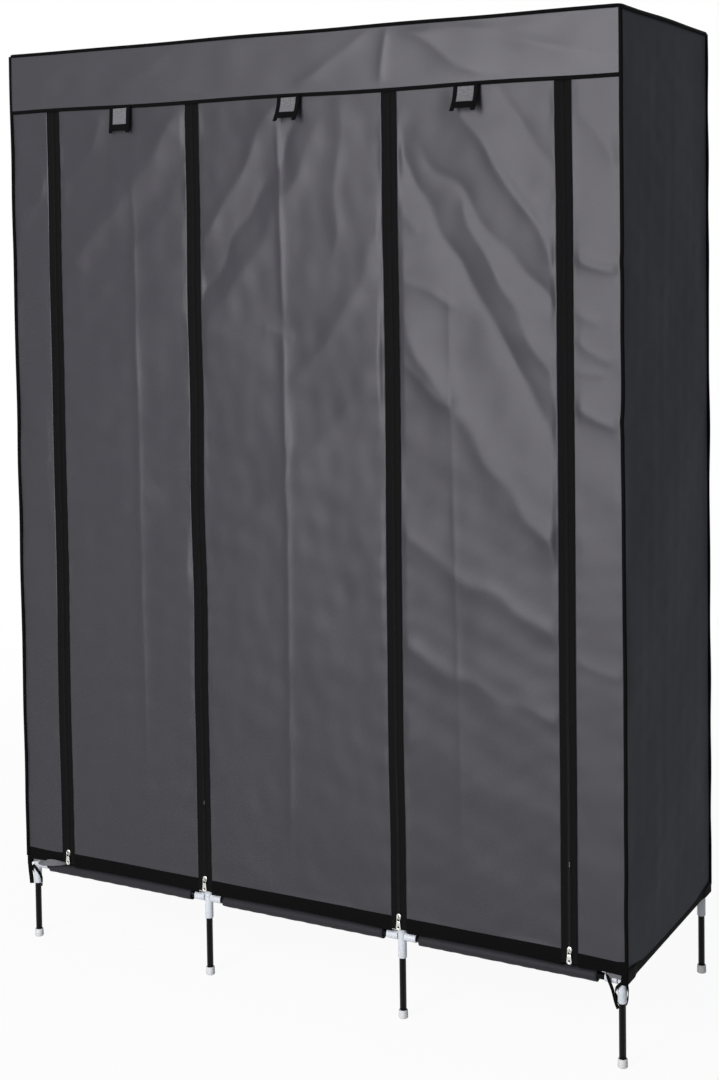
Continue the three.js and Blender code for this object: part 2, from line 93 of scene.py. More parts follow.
COLUMNS = [middle(f"upright_front_{i}")[0] for i in (1, 2, 3, 4)]
BAY = COLUMNS[1] - COLUMNS[0]
FRONT_ROW = middle("upright_front_1")[1]
BACK_ROW = middle("upright_back_1")[1]
ROWS = {"front": FRONT_ROW, "back": BACK_ROW}
BOTTOM_RAIL = middle("bottom_depth_rail_1")[2]
TOP_RAIL = middle("top_depth_rail_1")[2]
MID_RAIL = middle("mid_shelf_frame")[2]
TUBE_RADIUS = span("upright_front_1")[0] / 2
HANGING_RAIL = low("hanging_rail")[2] + TUBE_RADIUS
SOCKET_RADIUS = COLUMNS[0] - low("connector_front_1")[0]
SIDE_ARM = high("connector_front_1")[0] - COLUMNS[0]
LEG_ARM = BOTTOM_RAIL - low("connector_front_1")[2]
UP_ARM = high("connector_front_1")[2] - BOTTOM_RAIL
FOOT_HEIGHT = high("foot_front_1")[2]
FOOT_RADIUS = span("foot_front_1")[0] / 2
ZIPS = [middle(f"zip_slider_{i}")[0] for i in (1, 2, 3, 4)]
SLIDER_SIZE = span("zip_slider_1")[2]
PIVOT = middle("zip_slider_1")[2]  # the height at which the pulls hang on their sliders
PULL_PLACE = -middle("zip_pull_1")[1]
DOORS = ("left", "middle", "right")
DOOR_TOP = high("left_door")[2]
HEM_LOW = low("left_door_hem")[2]
HEM_TOP = high("left_door_hem")[2]
FRONT_FACE = -low("cover_left_side")[1]  # from the middle of the part to the outer face of the front cloth
SIDE_FACE = high("cover_top")[0]
BACK_FACE = high("cover_top")[1]
TOP_FACE = high("cover_top")[2]
WALL_TOP = high("cover_back")[2]
VALANCE_LOW = low("front_valance")[2]
VALANCE_FACE = 0.0014 - high("front_valance")[1]
BINDING_FACE = -low("front_valance")[1]
TAB_LOW = low("left_tie_tab")[2]
TAB_TOP = high("left_tie_tab")[2]
TAB_WIDTH = span("left_tie_tab")[0]
TAB_BACK = -high("left_tie_tab")[1]
TAB_FRONT = -low("left_tie_tab")[1]

# Fixed distances of the sewing
CLOTH_EDGE = 0.0135  # from a zip's middle to the edge of the cloth that is sewn to its tape
HEM_LAP = 0.004  # how far a door's cloth runs down behind its hem
PROUD = 0.0006  # how far the cover's hems stand out from the cloth
SLEEVE_OUT = 0.0017  # from a rail's surface to the outside of the shelf's sleeve round it
ZIP_SEEDS = (81, 82, 83, 84)  # one for each zip, from which its tape wanders


def linear(text):
    """A colour written as sRGB hex as the linear colour that the shaders read."""
    parts = [int(text[i:i + 2], 16) / 255 for i in (0, 2, 4)]
    return [p / 12.92 if p <= 0.04045 else ((p + 0.055) / 1.055) ** 2.4 for p in parts]


def length(name, text, default):
    """A length that a user may change, in metres."""
    return FloatProperty(name=name, description=text, default=default, min=0, subtype="DISTANCE", unit="LENGTH")


def colour(name, text, default):
    """A colour that a user may change, given as sRGB hex."""
    return FloatVectorProperty(name=name, description=text, default=linear(default), subtype="COLOR", min=0, max=1)


class WardrobeFrame(bpy.types.PropertyGroup):
    """Sizes of the tubes and their plastic fittings"""
    tube_radius: length("Tube radius", "Outside radius of the steel tubes", TUBE_RADIUS)
    tube_wall: length("Tube wall", "Thickness of a tube's wall", 0.001)
    socket_radius: length("Socket radius", "Outside radius of the connectors' sockets", SOCKET_RADIUS)
    socket_wall: length("Socket wall", "Thickness of a socket's wall", 0.0015)
    lip: length("Socket lip", "Rounding at the mouth of a socket", 0.0011)


class WardrobeCloth(bpy.types.PropertyGroup):
    """Sizes of the cover's cloth and trim"""
    thickness: length("Cloth thickness", "Thickness of the cover's cloth", 0.0014)
    step: length("Cloth mesh step", "Distance between the points of the doors' mesh", 0.005)
    piping_radius: length("Piping radius", "Radius of the piping along the seams", 0.0033)
    hem_thickness: length("Hem thickness", "Thickness of the folded black hem", 0.0022)
    side_hem: length("Back hem height", "Height of the black hem along the back", 0.017)
    roof_sag: length("Top sag", "How far the top sags between the rails", 0.006)
    shelf_sag: length("Shelf sag", "How far a shelf's cloth sags between its rails", 0.004)


class WardrobeZips(bpy.types.PropertyGroup):
    """Sizes of the zips and tie loops"""
    tape_width: length("Tape width", "Width of a zip's woven tape, both halves", 0.030)
    tape_thickness: length("Tape thickness", "Thickness of the woven tape", 0.0009)
    tape_low: length("Tape end", "Height of the lower end of the tapes", 0.1635)
    tooth_pitch: length("Tooth pitch", "Distance from one tooth of the coil to the next on the same side", 0.002)
    stitch_pitch: length("Stitch pitch", "Distance from one stitch to the next", 0.004)
    pull_neck: length("Pull neck", "Width of a zip pull at its neck", 0.0064)
    tab_band: length("Tie loop band", "Width of the black bands of a tie loop", 0.0085)
    tab_bar: length("Tie loop bar", "Height of the bar across a tie loop", 0.0125)


class WardrobeColours(bpy.types.PropertyGroup):
    """Colours of the finishes"""
    cloth: colour("Cover cloth", "Grey cloth of the front, back and top", "252429")
    side_cloth: colour("Side cloth", "Cloth of the sides", "404248")
    shelf_cloth: colour("Shelf cloth", "Cloth of the shelves and their sleeves", "2a2a2e")
    binding: colour("Binding", "Black piping, hems and zip tape", "09090a")
    thread: colour("Thread", "Sewing thread", "0c0c0e")
    patch: colour("Pale cloth", "Pale patches of the tie loops and corners", "606064")
    tube: colour("Tubes", "Black coating of the steel tubes", "080809")
    plastic: colour("Connectors", "Pale bluish grey plastic of the connectors", "b9bdc4")
    foot: colour("Feet", "Pale grey plastic of the foot caps", "bcbdbf")
    metal: colour("Zip metal", "Bright metal of the sliders and pulls", "d2d1cd")
    floor: colour("Floor", "Pale studio floor", "d6d6d6")


class WardrobeStage(bpy.types.PropertyGroup):
    """Camera and light"""
    focal_length: FloatProperty(name="Focal length", description="Focal length of the camera in millimetres",
                                default=57.747, min=1, subtype="DISTANCE_CAMERA")
    camera_shift: FloatProperty(name="Upward shift", description="Vertical shift of the camera's picture",
                                default=-0.1944)
    camera_place: FloatVectorProperty(name="Camera place", description="Where the camera stands",
                                      default=(1.6036, -2.88565, 1.36007), subtype="TRANSLATION", unit="LENGTH")
    camera_turn: FloatVectorProperty(name="Camera turn", description="Yaw to the right, pitch down and roll",
                                     default=(-0.50238, 0.04556, -0.01361), subtype="EULER")
    key_power: FloatProperty(name="Key light", description="Power of the soft main light", default=147, unit="POWER")
    top_power: FloatProperty(name="Top light", description="Power of the light overhead", default=10, unit="POWER")
    world_level: FloatProperty(name="World level", description="Strength of the light all round", default=0.3)


# Meshes from grids of points

def lengths(grid):
    """The flat coordinates of a grid: the lengths along its middle row and its middle column."""
    row, column = grid[len(grid) // 2], grid[:, grid.shape[1] // 2]
    across, along = (np.append(0, np.cumsum(np.linalg.norm(np.diff(line, axis=0), axis=1)))
                     for line in (row, column))
    return np.stack(np.meshgrid(across, along), -1)


def corners(grid):
    """The four corners of each cell of a grid, anticlockwise."""
    return np.stack([grid[:-1, :-1], grid[:-1, 1:], grid[1:, 1:], grid[1:, :-1]], 2)


class Skin:
    """One mesh, gathered from grids of points. Each grid has a finish number, and its outer face is where its
    columns run anticlockwise to its rows."""

    def __init__(self):
        self.points, self.quads, self.flats, self.finishes, self.count = [], [], [], [], 0

    def store(self, points, quads, flats, finish):
        """Keeps points and the cells between them, which are numbered from these points' first."""
        self.points.append(points.reshape(-1, 3))
        self.quads.append(quads.reshape(-1, 4) + self.count)
        self.flats.append(flats.reshape(-1, 4, 2))
        self.finishes.append(np.full(quads.size // 4, finish))
        self.count += points.size // 3

    def add(self, grid, finish=0, loop_rows=False, loop_columns=False, flat=None, keep=None, flip=False):
        """A grid of points joined along its rows and columns. A looped direction joins its last to its first,
        and keep says which cells stay."""
        index = np.arange(grid.shape[0] * grid.shape[1]).reshape(grid.shape[:2])
        whole = grid
        if loop_columns:
            index, whole = (np.concatenate([a, a[:, :1]], 1) for a in (index, whole))
        if loop_rows:
            index, whole = (np.concatenate([a, a[:1]], 0) for a in (index, whole))
        quads, flats = corners(index), corners(lengths(whole) if flat is None else flat)
        if flip:
            quads, flats = quads[:, :, ::-1], flats[:, :, ::-1]
        if keep is not None:
            quads, flats = quads[keep], flats[keep]
        self.store(grid, quads, flats, finish)

    def solid(self, grid, finish=0, flip=False):
        """A closed shape: its columns loop, and its first and last rows each lie in one point."""
        self.add(grid, finish, loop_columns=True, flip=flip)

    def hoop(self, grid):
        """A closed wall round a hole: both its columns and its rows loop."""
        self.add(grid, loop_rows=True, loop_columns=True)

    def cord(self, path, section, facing, finish=0):
        """A section carried along a path and closed at both its ends."""
        self.solid(capped(swept(path, section, facing)), finish)

    def repeat(self, shape, places, finish):
        """Copies of one small closed grid, whose columns loop, at many places."""
        points = places[:, None, None] + shape
        index = np.arange(points.size // 3).reshape(points.shape[:3])
        index = np.concatenate([index, index[:, :, :1]], 2)
        quads = np.stack([index[:, :-1, :-1], index[:, :-1, 1:], index[:, 1:, 1:], index[:, 1:, :-1]], -1)
        self.store(points, quads, np.zeros(quads.shape + (2,)), finish)

    def piece(self, name, finishes, nodes=(), body="root", thickness=0):
        """Makes the mesh an object that rides on a body and stands for the given nodes. Cloth has a thickness
        and gets its other side from it, and a piece without one has its seams and poles joined."""
        mesh = bpy.data.meshes.new(name)
        quads = np.concatenate(self.quads)
        mesh.from_pydata(np.concatenate(self.points).tolist(), [], quads.tolist())
        mesh.polygons.foreach_set("material_index", np.concatenate(self.finishes).astype(np.int32))
        mesh.polygons.foreach_set("use_smooth", np.ones(len(quads), bool))
        flat_map = mesh.uv_layers.new(name=FLAT_MAP)
        flat_map.data.foreach_set("uv", np.concatenate(self.flats).astype(np.float32).ravel())
        for key in finishes:
            mesh.materials.append(finish(key))
        if not thickness:
            join_seams(mesh)
        mesh.set_sharp_from_angle(angle=math.radians(50))
        piece = bpy.data.objects.new(name, mesh)
        bpy.context.scene.collection.objects.link(piece)
        if thickness:
            wall = piece.modifiers.new("thickness", "SOLIDIFY")
            wall.thickness = thickness
            wall.offset = -1
            wall.use_even_offset = True
        if nodes:
            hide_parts(*nodes)
        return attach(piece, body)


def join_seams(mesh):
    """Merges the points that lie on each other, which closes seams and poles."""
    whole = bmesh.new()
    whole.from_mesh(mesh)
    bmesh.ops.remove_doubles(whole, verts=whole.verts, dist=2e-6)
    bmesh.ops.dissolve_degenerate(whole, edges=whole.edges, dist=1e-7)
    whole.to_mesh(mesh)
    whole.free()


def spaced(start, end, step):
    """Places from start to end, evenly spaced by about a step."""
    return np.linspace(start, end, max(1, round(abs(end - start) / step)) + 1)


AXES = {"x": (2, 0, 1), "y": (1, 2, 0), "z": (0, 1, 2)}


def turned(profile, axis, centre=(0, 0, 0), side=1, sides=32):
    """A profile of (radius, height) points turned round an axis through a centre. Rows follow the profile and
    columns the turn, and a profile that goes up its outer wall faces outwards."""
    profile = np.array(profile, float) * (1, side)
    if side < 0:
        profile = profile[::-1]
    turn = np.arange(sides) * 2 * math.pi / sides
    radius, height = profile[:, :1], profile[:, 1:]
    grid = np.stack([radius * np.cos(turn), radius * np.sin(turn), height + 0 * turn], -1)
    return grid[..., AXES[axis]] + np.array(centre)


def swept(path, section, facing, loop=False):
    """A closed section carried along a path: its first coordinate runs along tangent x facing, and its second
    towards facing. Rows follow the path and columns the section."""
    if loop:
        tangent = np.roll(path, -1, 0) - np.roll(path, 1, 0)
    else:
        tangent = np.gradient(path, axis=0)
    side = np.cross(tangent, np.broadcast_to(np.array(facing, float), path.shape))
    side /= np.linalg.norm(side, axis=1, keepdims=True)
    out = np.cross(side, tangent)
    out /= np.linalg.norm(out, axis=1, keepdims=True)
    if winding(section) > 0:
        section = section[::-1]
    return path[:, None] + section[:, 0, None] * side[:, None] + section[:, 1, None] * out[:, None]


def winding(outline):
    """Twice the area inside a closed outline, positive where it runs anticlockwise."""
    following = np.roll(outline, -1, 0)
    return np.sum(outline[:, 0] * following[:, 1] - following[:, 0] * outline[:, 1])


def capped(grid):
    """A grid with one more row at each end, drawn together to that end's middle, which closes it."""
    ends = [np.repeat(grid[i].mean(0)[None, None], grid.shape[1], 1) for i in (0, -1)]
    return np.concatenate([ends[0], grid, ends[1]])


def ring(radius_x, radius_y=None, sides=16):
    """A round or oval section."""
    turn = np.arange(sides) * 2 * math.pi / sides
    return np.stack([radius_x * np.cos(turn), (radius_y or radius_x) * np.sin(turn)], -1)


def strip_section(width, thickness):
    """The section of a flat strip with round edges."""
    radius = thickness / 2
    turn = np.linspace(-math.pi / 2, math.pi / 2, 5)
    right = np.stack([width / 2 - radius + radius * np.cos(turn), radius * np.sin(turn)], -1)
    inner = np.linspace(width / 2 - radius, radius - width / 2, 7)[1:-1]
    top = np.stack([inner, np.full_like(inner, radius)], -1)
    return np.concatenate([right, top, -right, -top])


def smoothed(points):
    """A path with its corners cut to a quarter and three quarters of each leg, three times over."""
    points = np.array(points, float)
    for _ in range(3):
        quarter = points[:-1] * 0.75 + points[1:] * 0.25
        beyond = points[:-1] * 0.25 + points[1:] * 0.75
        cut = np.stack([quarter, beyond], 1).reshape(-1, points.shape[1])
        points = np.concatenate([points[:1], cut, points[-1:]])
    return points


def standing(across, up, out, distance, quarter):
    """A wall: places across and up it, pushed out from a plane at a distance from the middle of the part. It
    is turned by quarter turns round the upright axis: 0 is the front, 1 the right side and 2 the back."""
    x, y = across, -(distance + out)
    turn = [(x, y), (-y, x), (-x, -y), (y, -x)][quarter]
    return np.stack([*np.broadcast_arrays(*turn, up)], -1)


# Relief of the hanging cloth

# Folds of the front in millimetres: x and z of one end and of the other, then width, height and sag
DOOR_FOLDS = (
    (302, 1655, 545, 1295, 18, 4.6, 0),
    (255, 1545, 545, 1225, 20, -3, 0),
    (310, 1480, 545, 1080, 16, 2.4, 0),
    (200, 1570, 545, 985, 20, -4.4, 0),
    (195, 1290, 545, 820, 32, 5.4, 20),
    (380, 1680, 545, 1430, 14, -1.6, 0),
    (190, 882, 545, 703, 28, 3.8, 6),
    (190, 682, 545, 560, 28, 3.2, 8),
    (190, 560, 545, 400, 40, 1.6, 30),
    (-530, 1320, -225, 1640, 34, 4.6, 20),
    (-530, 1440, -400, 1640, 22, 3, 5),
    (-530, 1230, -225, 1480, 32, 2, 20),
    (-530, 1040, -225, 1320, 40, 2, 25),
    (-530, 780, -300, 930, 26, 2.6, 10),
    (-530, 600, -195, 820, 50, 1.6, 30),
    (-215, 1345, -20, 1640, 26, 4.2, 8),
    (-215, 1250, 30, 1610, 16, -2.6, 12),
    (-215, 1175, 85, 1620, 30, 3.2, 12),
    (85, 1300, 115, 1640, 20, 2.6, 0),
    (-20, 1090, 215, 1460, 34, 2.4, 20),
    (-215, 790, 215, 1230, 44, 2.8, 40),
    (-225, 520, 225, 860, 55, 1.8, 40),
    (195, 1470, 262, 1380, 12, 1.8, 0),
    (195, 1335, 335, 1262, 11, 1.7, 4),
    (185, 1215, 330, 1085, 14, 1.5, 10),
)
STRIP_FOLDS = (
    (515, 1362, 650, 1318, 10, 3, 10),
    (515, 1114, 650, 1056, 11, 2.6, 4),
    (500, 690, 650, 648, 12, 1.8, 3),
    (520, 1640, 640, 1480, 16, 1.6, 6),
    (525, 1262, 590, 1236, 8, 1.4, 3),
    (540, 1215, 615, 1170, 10, 1.6, 4),
    (525, 1160, 600, 1150, 7, 1, 2),
    (-650, 1380, -530, 1520, 20, 2, 4),
    (-650, 900, -500, 1010, 24, 2, 5),
    (-650, 330, -500, 470, 22, 2, 5),
)
VALANCE_FOLDS = (
    (189, 1630, 207, 1790, 8, 2, 0),
    (185, 1790, 420, 1625, 16, 2.8, 6),
    (0, 1640, 205, 1775, 18, 2.4, 4),
    (230, 1775, 640, 1660, 18, 2.4, 6),
    (-420, 1640, -180, 1780, 26, 1.6, 6),
    (-640, 1630, -430, 1770, 26, 1.4, 6),
)
# Creases left by folding the cover flat, written in the same way
DOOR_CREASES = (
    (-13.5, 1215, -20, 1600, 6, 2.4, 0),
    (-11.5, 990, -16, 1225, 6, 2.6, 0),
    (-14.5, 230, -10, 1075, 6, 2.2, 0),
    (-334, 330, -340, 1520, 6, 1.7, 0),
    (-60, 1225, 10, 1205, 6, 1, 0),
    (331, 300, 315, 1330, 5.5, 0.8, 0),
)


def fold(x, z, row):
    """One fold: a blunt crest along a line that sags between its ends, whose flanks fall off evenly to both
    sides like two flat facets, and which fades out towards both ends."""
    start_x, start_z, end_x, end_z, width, height, sag = np.multiply(row, MM)
    run, rise = end_x - start_x, end_z - start_z
    reach = math.hypot(run, rise)
    share = ((x - start_x) * run + (z - start_z) * rise) / reach ** 2
    off = ((x - start_x) * rise - (z - start_z) * run) / reach - sag * 4 * share * (1 - share)
    fade = np.clip(2.5 * np.sin(math.pi * np.clip(share, 0, 1)), 0, 1)
    blunt = 0.25  # how far the crest is rounded, as a share of the width
    return height * np.exp(blunt - np.sqrt((off / width) ** 2 + blunt ** 2)) * fade


def folded(x, z, rows, wander):
    """All the folds of a table. Their lines wander by a slow ripple, and so do their heights."""
    across, up = (wander * ripple(x, z, seed, 0.11) for seed in (101, 102))
    return sum(fold(x + across, z + up, row) for row in rows) * (1 + 0.25 * ripple(x, z, 103, 0.16))


def ripple(x, z, seed, size, waves=14):
    """A slow uneven swell of about one unit: the mean of plane waves in scattered directions from one seed,
    whose lengths lie about a size in metres."""
    random = np.random.default_rng(seed)
    heading, phase, scatter = random.uniform(0, 1, (3, waves))
    number = 2 * math.pi / (size * (0.7 + 0.8 * scatter))
    along = x[..., None] * np.cos(2 * math.pi * heading) + z[..., None] * np.sin(2 * math.pi * heading)
    return np.sin(number * along + 2 * math.pi * phase).sum(-1) / math.sqrt(waves)


def rising(value):
    """A smooth step from 0 to 1."""
    value = np.clip(value, 0, 1)
    return value * value * (3 - 2 * value)


def held(x, z, left, right, bottom, top, margin):
    """How free the cloth is: nothing at its sewn edges, and 1 further in than the margin."""
    sideways = rising((x - left) / margin) * rising((right - x) / margin)
    return sideways * rising((z - bottom) / margin) * rising((top - z) / (2 * margin))


def pucker(x, z, left, right):
    """Small puckers along the seams at both sides, which die away within a few centimetres."""
    near = np.exp(-(x - left) / 0.016) * np.sin(2 * math.pi * z / 0.047 + 3 * np.sin(z * 9))
    far = np.exp(-(right - x) / 0.016) * np.sin(2 * math.pi * z / 0.053 + 3 * np.sin(z * 7 + 1))
    return near + far


def sewn(x, z, edges, main, margin, puckers):
    """The relief of a panel that is sewn all round: its folds inside a margin, and puckers of a height."""
    return held(x, z, *edges, margin) * main + puckers * held(x, z, *edges, 0.004) * pucker(x, z, *edges[:2])


def slanting(x, z, left, right, bottom, top, waves_up, waves_across, phase):
    """The main folds that the frame's cloth has: a slow wave up it that leans across it."""
    across, up = (x - left) / (right - left), (z - bottom) / (top - bottom)
    fixed = np.sin(math.pi * np.clip(across, 0, 1)) * np.minimum(1, 2 * np.sin(math.pi * np.clip(up, 0, 1)))
    return fixed * (1 + np.cos(2 * math.pi * (waves_up * up + waves_across * across + phase))) / 2


def hanging(x, z, edges, turns, swells):
    """The relief of a wall that hangs free: the frame's folds, 3 mm deep, and swells, each given as its height,
    seed and size, which die away at the edges."""
    fine = sum(height * ripple(x, z, seed, size) for height, seed, size in swells)
    return 0.003 * slanting(x, z, *edges, *turns) + held(x, z, *edges, 0.03) * fine


def sway(z, seed):
    """How far a zip or a seam wanders sideways at a height: nothing at its ends, and up to 2 mm between."""
    ends = rising((z - 0.24) / 0.2) * rising((1.58 - z) / 0.15)
    return 0.0012 * ends * ripple(z, z * 0, seed, 0.42, 5)


# Finishes

def add_node(tree, kind, settings=None, links=None):
    """Adds a node, sets its inputs or properties by name, and links sources to its inputs."""
    node = tree.nodes.new(kind)
    for name, value in (settings or {}).items():
        if isinstance(name, int) or name in node.inputs:
            node.inputs[name].default_value = value
        else:
            setattr(node, name, value)
    for name, source in (links or {}).items():
        socket = source.outputs[0] if isinstance(source, bpy.types.Node) else source
        tree.links.new(socket, node.inputs[name])
    return node


def blank(name, settings):
    """A new material and its shader with the given constant settings."""
    material = bpy.data.materials.new(name)
    material.use_nodes = True
    shader = material.node_tree.nodes["Principled BSDF"]
    for key, value in settings.items():
        shader.inputs[key].default_value = value
    return material, material.node_tree, shader


def shaded(tree, shader, source, tint, spread):
    """Gives the shader's colour a spread round a tint, darker and lighter by the source."""
    ramp = add_node(tree, "ShaderNodeValToRGB", links={"Fac": source})
    for element, factor, place in zip(ramp.color_ramp.elements, (1 - spread, 1 + spread), (0.3, 0.7)):
        element.position = place
        element.color = (*[min(1, c * factor) for c in tint], 1)
    tree.links.new(ramp.outputs["Color"], shader.inputs["Base Color"])


def raised(tree, shader, source, distance):
    """Bumps the shader's surface by a source, whose full step is the given distance."""
    bump = add_node(tree, "ShaderNodeBump", {"Distance": distance, "Strength": 1.0}, {"Height": source})
    tree.links.new(bump.outputs["Normal"], shader.inputs["Normal"])


def ridges(spacing, direction):
    """The settings of a wave texture that draws even ridges a spacing in metres apart across X or Y."""
    return {"bands_direction": direction, "Scale": math.pi / 10 / spacing, "Distortion": 0.0}


def nonwoven(name, tint, gloss):
    """Spun-bonded polypropylene felt, pressed with small dots. The film-like fibres give a soft satin sheen,
    and the dots break it into a fine grain. Real dots are about 1 mm apart, and are drawn 2.6 mm apart."""
    material, tree, shader = blank(name, {
        "Roughness": 0.43, "Specular IOR Level": gloss, "IOR": 1.49, "Specular Tint": (0.95, 0.94, 1.0, 1),
    })
    flat = add_node(tree, "ShaderNodeUVMap", {"uv_map": FLAT_MAP})
    slanted = add_node(tree, "ShaderNodeMapping", {"Rotation": (0, 0, math.pi / 4)}, {"Vector": flat})
    rows = [add_node(tree, "ShaderNodeTexWave", ridges(0.0026, direction), {"Vector": slanted})
            for direction in ("X", "Y")]
    dots = add_node(tree, "ShaderNodeMath", {"operation": "MULTIPLY"}, {0: rows[0], 1: rows[1]})
    fibres = add_node(tree, "ShaderNodeTexNoise", {"Scale": 420, "Detail": 4, "Roughness": 0.6}, {"Vector": flat})
    cloudy = add_node(tree, "ShaderNodeTexNoise", {"Scale": 26, "Detail": 3}, {"Vector": flat})
    relief = add_node(tree, "ShaderNodeMath", {"operation": "MULTIPLY_ADD", 1: -0.5}, {0: dots, 2: fibres})
    mottle = add_node(tree, "ShaderNodeMath", {"operation": "MULTIPLY_ADD", 1: 0.6}, {0: fibres, 2: cloudy})
    centred = add_node(tree, "ShaderNodeMath", {"operation": "MULTIPLY", 1: 0.625}, {0: mottle})
    shaded(tree, shader, centred, tint, 0.06)
    raised(tree, shader, relief, 0.00022)
    return material


def ribbed(name, tint, spacing, roughness=0.72, gloss=0.025):
    """Woven polyester tape or binding with fine ribs across it: matt, with a faint sheen on the ribs. Real ribs
    are about 0.5 mm apart, and are drawn a spacing apart, so that they show. Thread is a tape in small."""
    material, tree, shader = blank(name, {"Roughness": roughness, "Specular IOR Level": gloss})
    flat = add_node(tree, "ShaderNodeUVMap", {"uv_map": FLAT_MAP})
    ribs = add_node(tree, "ShaderNodeTexWave", ridges(spacing, "Y"), {"Vector": flat})
    threads = add_node(tree, "ShaderNodeTexWave", ridges(spacing / 2, "X"), {"Vector": flat})
    weave = add_node(tree, "ShaderNodeMath", {"operation": "MULTIPLY_ADD", 1: 0.35}, {0: threads, 2: ribs})
    fuzz = add_node(tree, "ShaderNodeTexNoise", {"Scale": 300, "Detail": 3}, {"Vector": flat})
    shaded(tree, shader, fuzz, tint, 0.22)
    raised(tree, shader, weave, 0.0002)
    return material


def grained(name, tint, settings, spread, clouds, grain=None, depth=0):
    """A finish on Object coordinates: clouds spread its colour round the tint, and a finer grain raises it by a
    depth. Clouds and grain are noises, each given as its scale and detail."""
    material, tree, shader = blank(name, settings)
    place = add_node(tree, "ShaderNodeTexCoord").outputs["Object"]
    noises = [add_node(tree, "ShaderNodeTexNoise", dict(zip(("Scale", "Detail"), noise)), {"Vector": place})
              for noise in (clouds, grain) if noise]
    shaded(tree, shader, noises[0], tint, spread)
    if grain:
        raised(tree, shader, noises[1], depth)
    return material


def polished_nylon(name, tint):
    """Moulded nylon monofilament, bent into the zip's coil: smooth and slightly glossy."""
    return grained(name, tint, {"Roughness": 0.4, "Specular IOR Level": 0.08}, 0.2, (900, 2))


def coated_steel(name, tint):
    """Thin steel tube with a black baked coating: a gloss with faint orange peel, so that highlights run in
    soft streaks along the tube."""
    return grained(name, tint, {"Roughness": 0.3, "Specular IOR Level": 0.07}, 0.25, (35, 5), (700, 2), 0.00006)


def moulded_plastic(name, tint, roughness):
    """Injection-moulded polypropylene: pale, waxy and slightly see-through at its edges, with the fine grain
    of a spark-eroded mould and faint flow clouds."""
    return grained(name, tint, {
        "Roughness": roughness, "IOR": 1.49, "Subsurface Weight": 0.12, "Subsurface Radius": (0.002, 0.002, 0.002),
    }, 0.045, (60, 4), (1400, 2), 0.00005)


def plated_metal(name, tint):
    """Die-cast zinc with bright nickel plating: a mirror softened by handling and fine scratches."""
    material, tree, shader = blank(name, {"Metallic": 1.0, "Roughness": 0.24})
    place = add_node(tree, "ShaderNodeTexCoord").outputs["Object"]
    drawn = add_node(tree, "ShaderNodeMapping", {"Scale": (2500, 2500, 250)}, {"Vector": place})
    scratches = add_node(tree, "ShaderNodeTexNoise", {"Scale": 1.0, "Detail": 4}, {"Vector": drawn})
    shaded(tree, shader, scratches, tint, 0.08)
    raised(tree, shader, scratches, 0.00002)
    return material


# Each finish: its material's name, the record's slot, the colour's name and the function that makes it. The
# band above the doors is the cover's own cloth with more shine, a painted highlight, and the sides are the same
# cloth with almost no shine, a painted shade that keeps them dark, as they are in their own shade.
FINISHES = {
    "cloth": ("grey_nonwoven_polypropylene", "cover_cloth", "cloth", lambda n, c: nonwoven(n, c, 0.36)),
    # painted highlight: the cover's own cloth with more shine, which makes the band lighter
    "band": ("pressed_nonwoven_polypropylene", "cover_cloth", "cloth", lambda n, c: nonwoven(n, c, 0.45)),
    # painted shade: the cover's own cloth with almost no shine, which keeps the sides dark
    "side": ("dark_nonwoven_polypropylene", "side_cloth", "side_cloth", lambda n, c: nonwoven(n, c, 0.007)),
    "shelf": ("shelf_nonwoven_polypropylene", "shelf_cloth", "shelf_cloth", lambda n, c: nonwoven(n, c, 0.05)),
    "binding": ("black_woven_binding", "binding_cloth", "binding", lambda n, c: ribbed(n, c, 0.0018)),
    "tape": ("black_woven_zip_tape", "binding_cloth", "binding", lambda n, c: ribbed(n, c, 0.0012, 0.62, 0.045)),
    "coil": ("black_nylon_zip_coil", "binding_cloth", "thread", polished_nylon),
    "thread": ("black_polyester_thread", "binding_cloth", "thread", lambda n, c: ribbed(n, c, 0.0008)),
    "patch": ("pale_woven_patch", "cover_cloth", "patch", lambda n, c: ribbed(n, c, 0.0016)),
    "tube": ("black_coated_steel", "tube_steel", "tube", coated_steel),
    "plastic": ("grey_moulded_polypropylene", "connector_plastic", "plastic",
                lambda n, c: moulded_plastic(n, c, 0.42)),
    "foot": ("grey_soft_moulded_cap", "foot_plastic", "foot", lambda n, c: moulded_plastic(n, c, 0.55)),
    "metal": ("bright_nickel_plated_zinc", "zip_metal", "metal", plated_metal),
}


def finish(key):
    """The material of a finish, made when it is first asked for."""
    name, _, tint, maker = FINISHES[key]
    return bpy.data.materials.get(name) or maker(name, tuple(getattr(bpy.context.scene.wardrobe_colours, tint)))


# Stage

def looking(right, back, place):
    """The matrix of a camera or a lamp from its right hand, the direction behind it and its place."""
    matrix = np.eye(4)
    matrix[:3] = np.stack([right, np.cross(back, right), back, place], 1)
    return Matrix(matrix.tolist())


def add_lamp(name, place, target, size, power, tint):
    """A soft lamp of a width and a height, which looks at a target."""
    data = bpy.data.lights.new(name, "AREA")
    data.shape = "RECTANGLE"
    data.size, data.size_y = size
    data.energy = power
    data.color = tint
    lamp = bpy.data.objects.new(name, data)
    bpy.context.scene.collection.objects.link(lamp)
    lamp.visible_camera = False
    back = np.subtract(place, target) / np.linalg.norm(np.subtract(place, target))
    right = np.cross((0, 0, 1), back)
    lamp.matrix_world = looking(right / np.linalg.norm(right), back, place)


def seen_rays(tree):
    """1 for rays that the camera, a reflection or a clear surface sends, and 0 for those that carry light."""
    path = add_node(tree, "ShaderNodeLightPath")
    seen = path.outputs["Is Camera Ray"]
    for ray in ("Is Glossy Ray", "Is Transmission Ray"):
        seen = add_node(tree, "ShaderNodeMath", {"operation": "MAXIMUM"}, {0: seen, 1: path.outputs[ray]})
    return seen


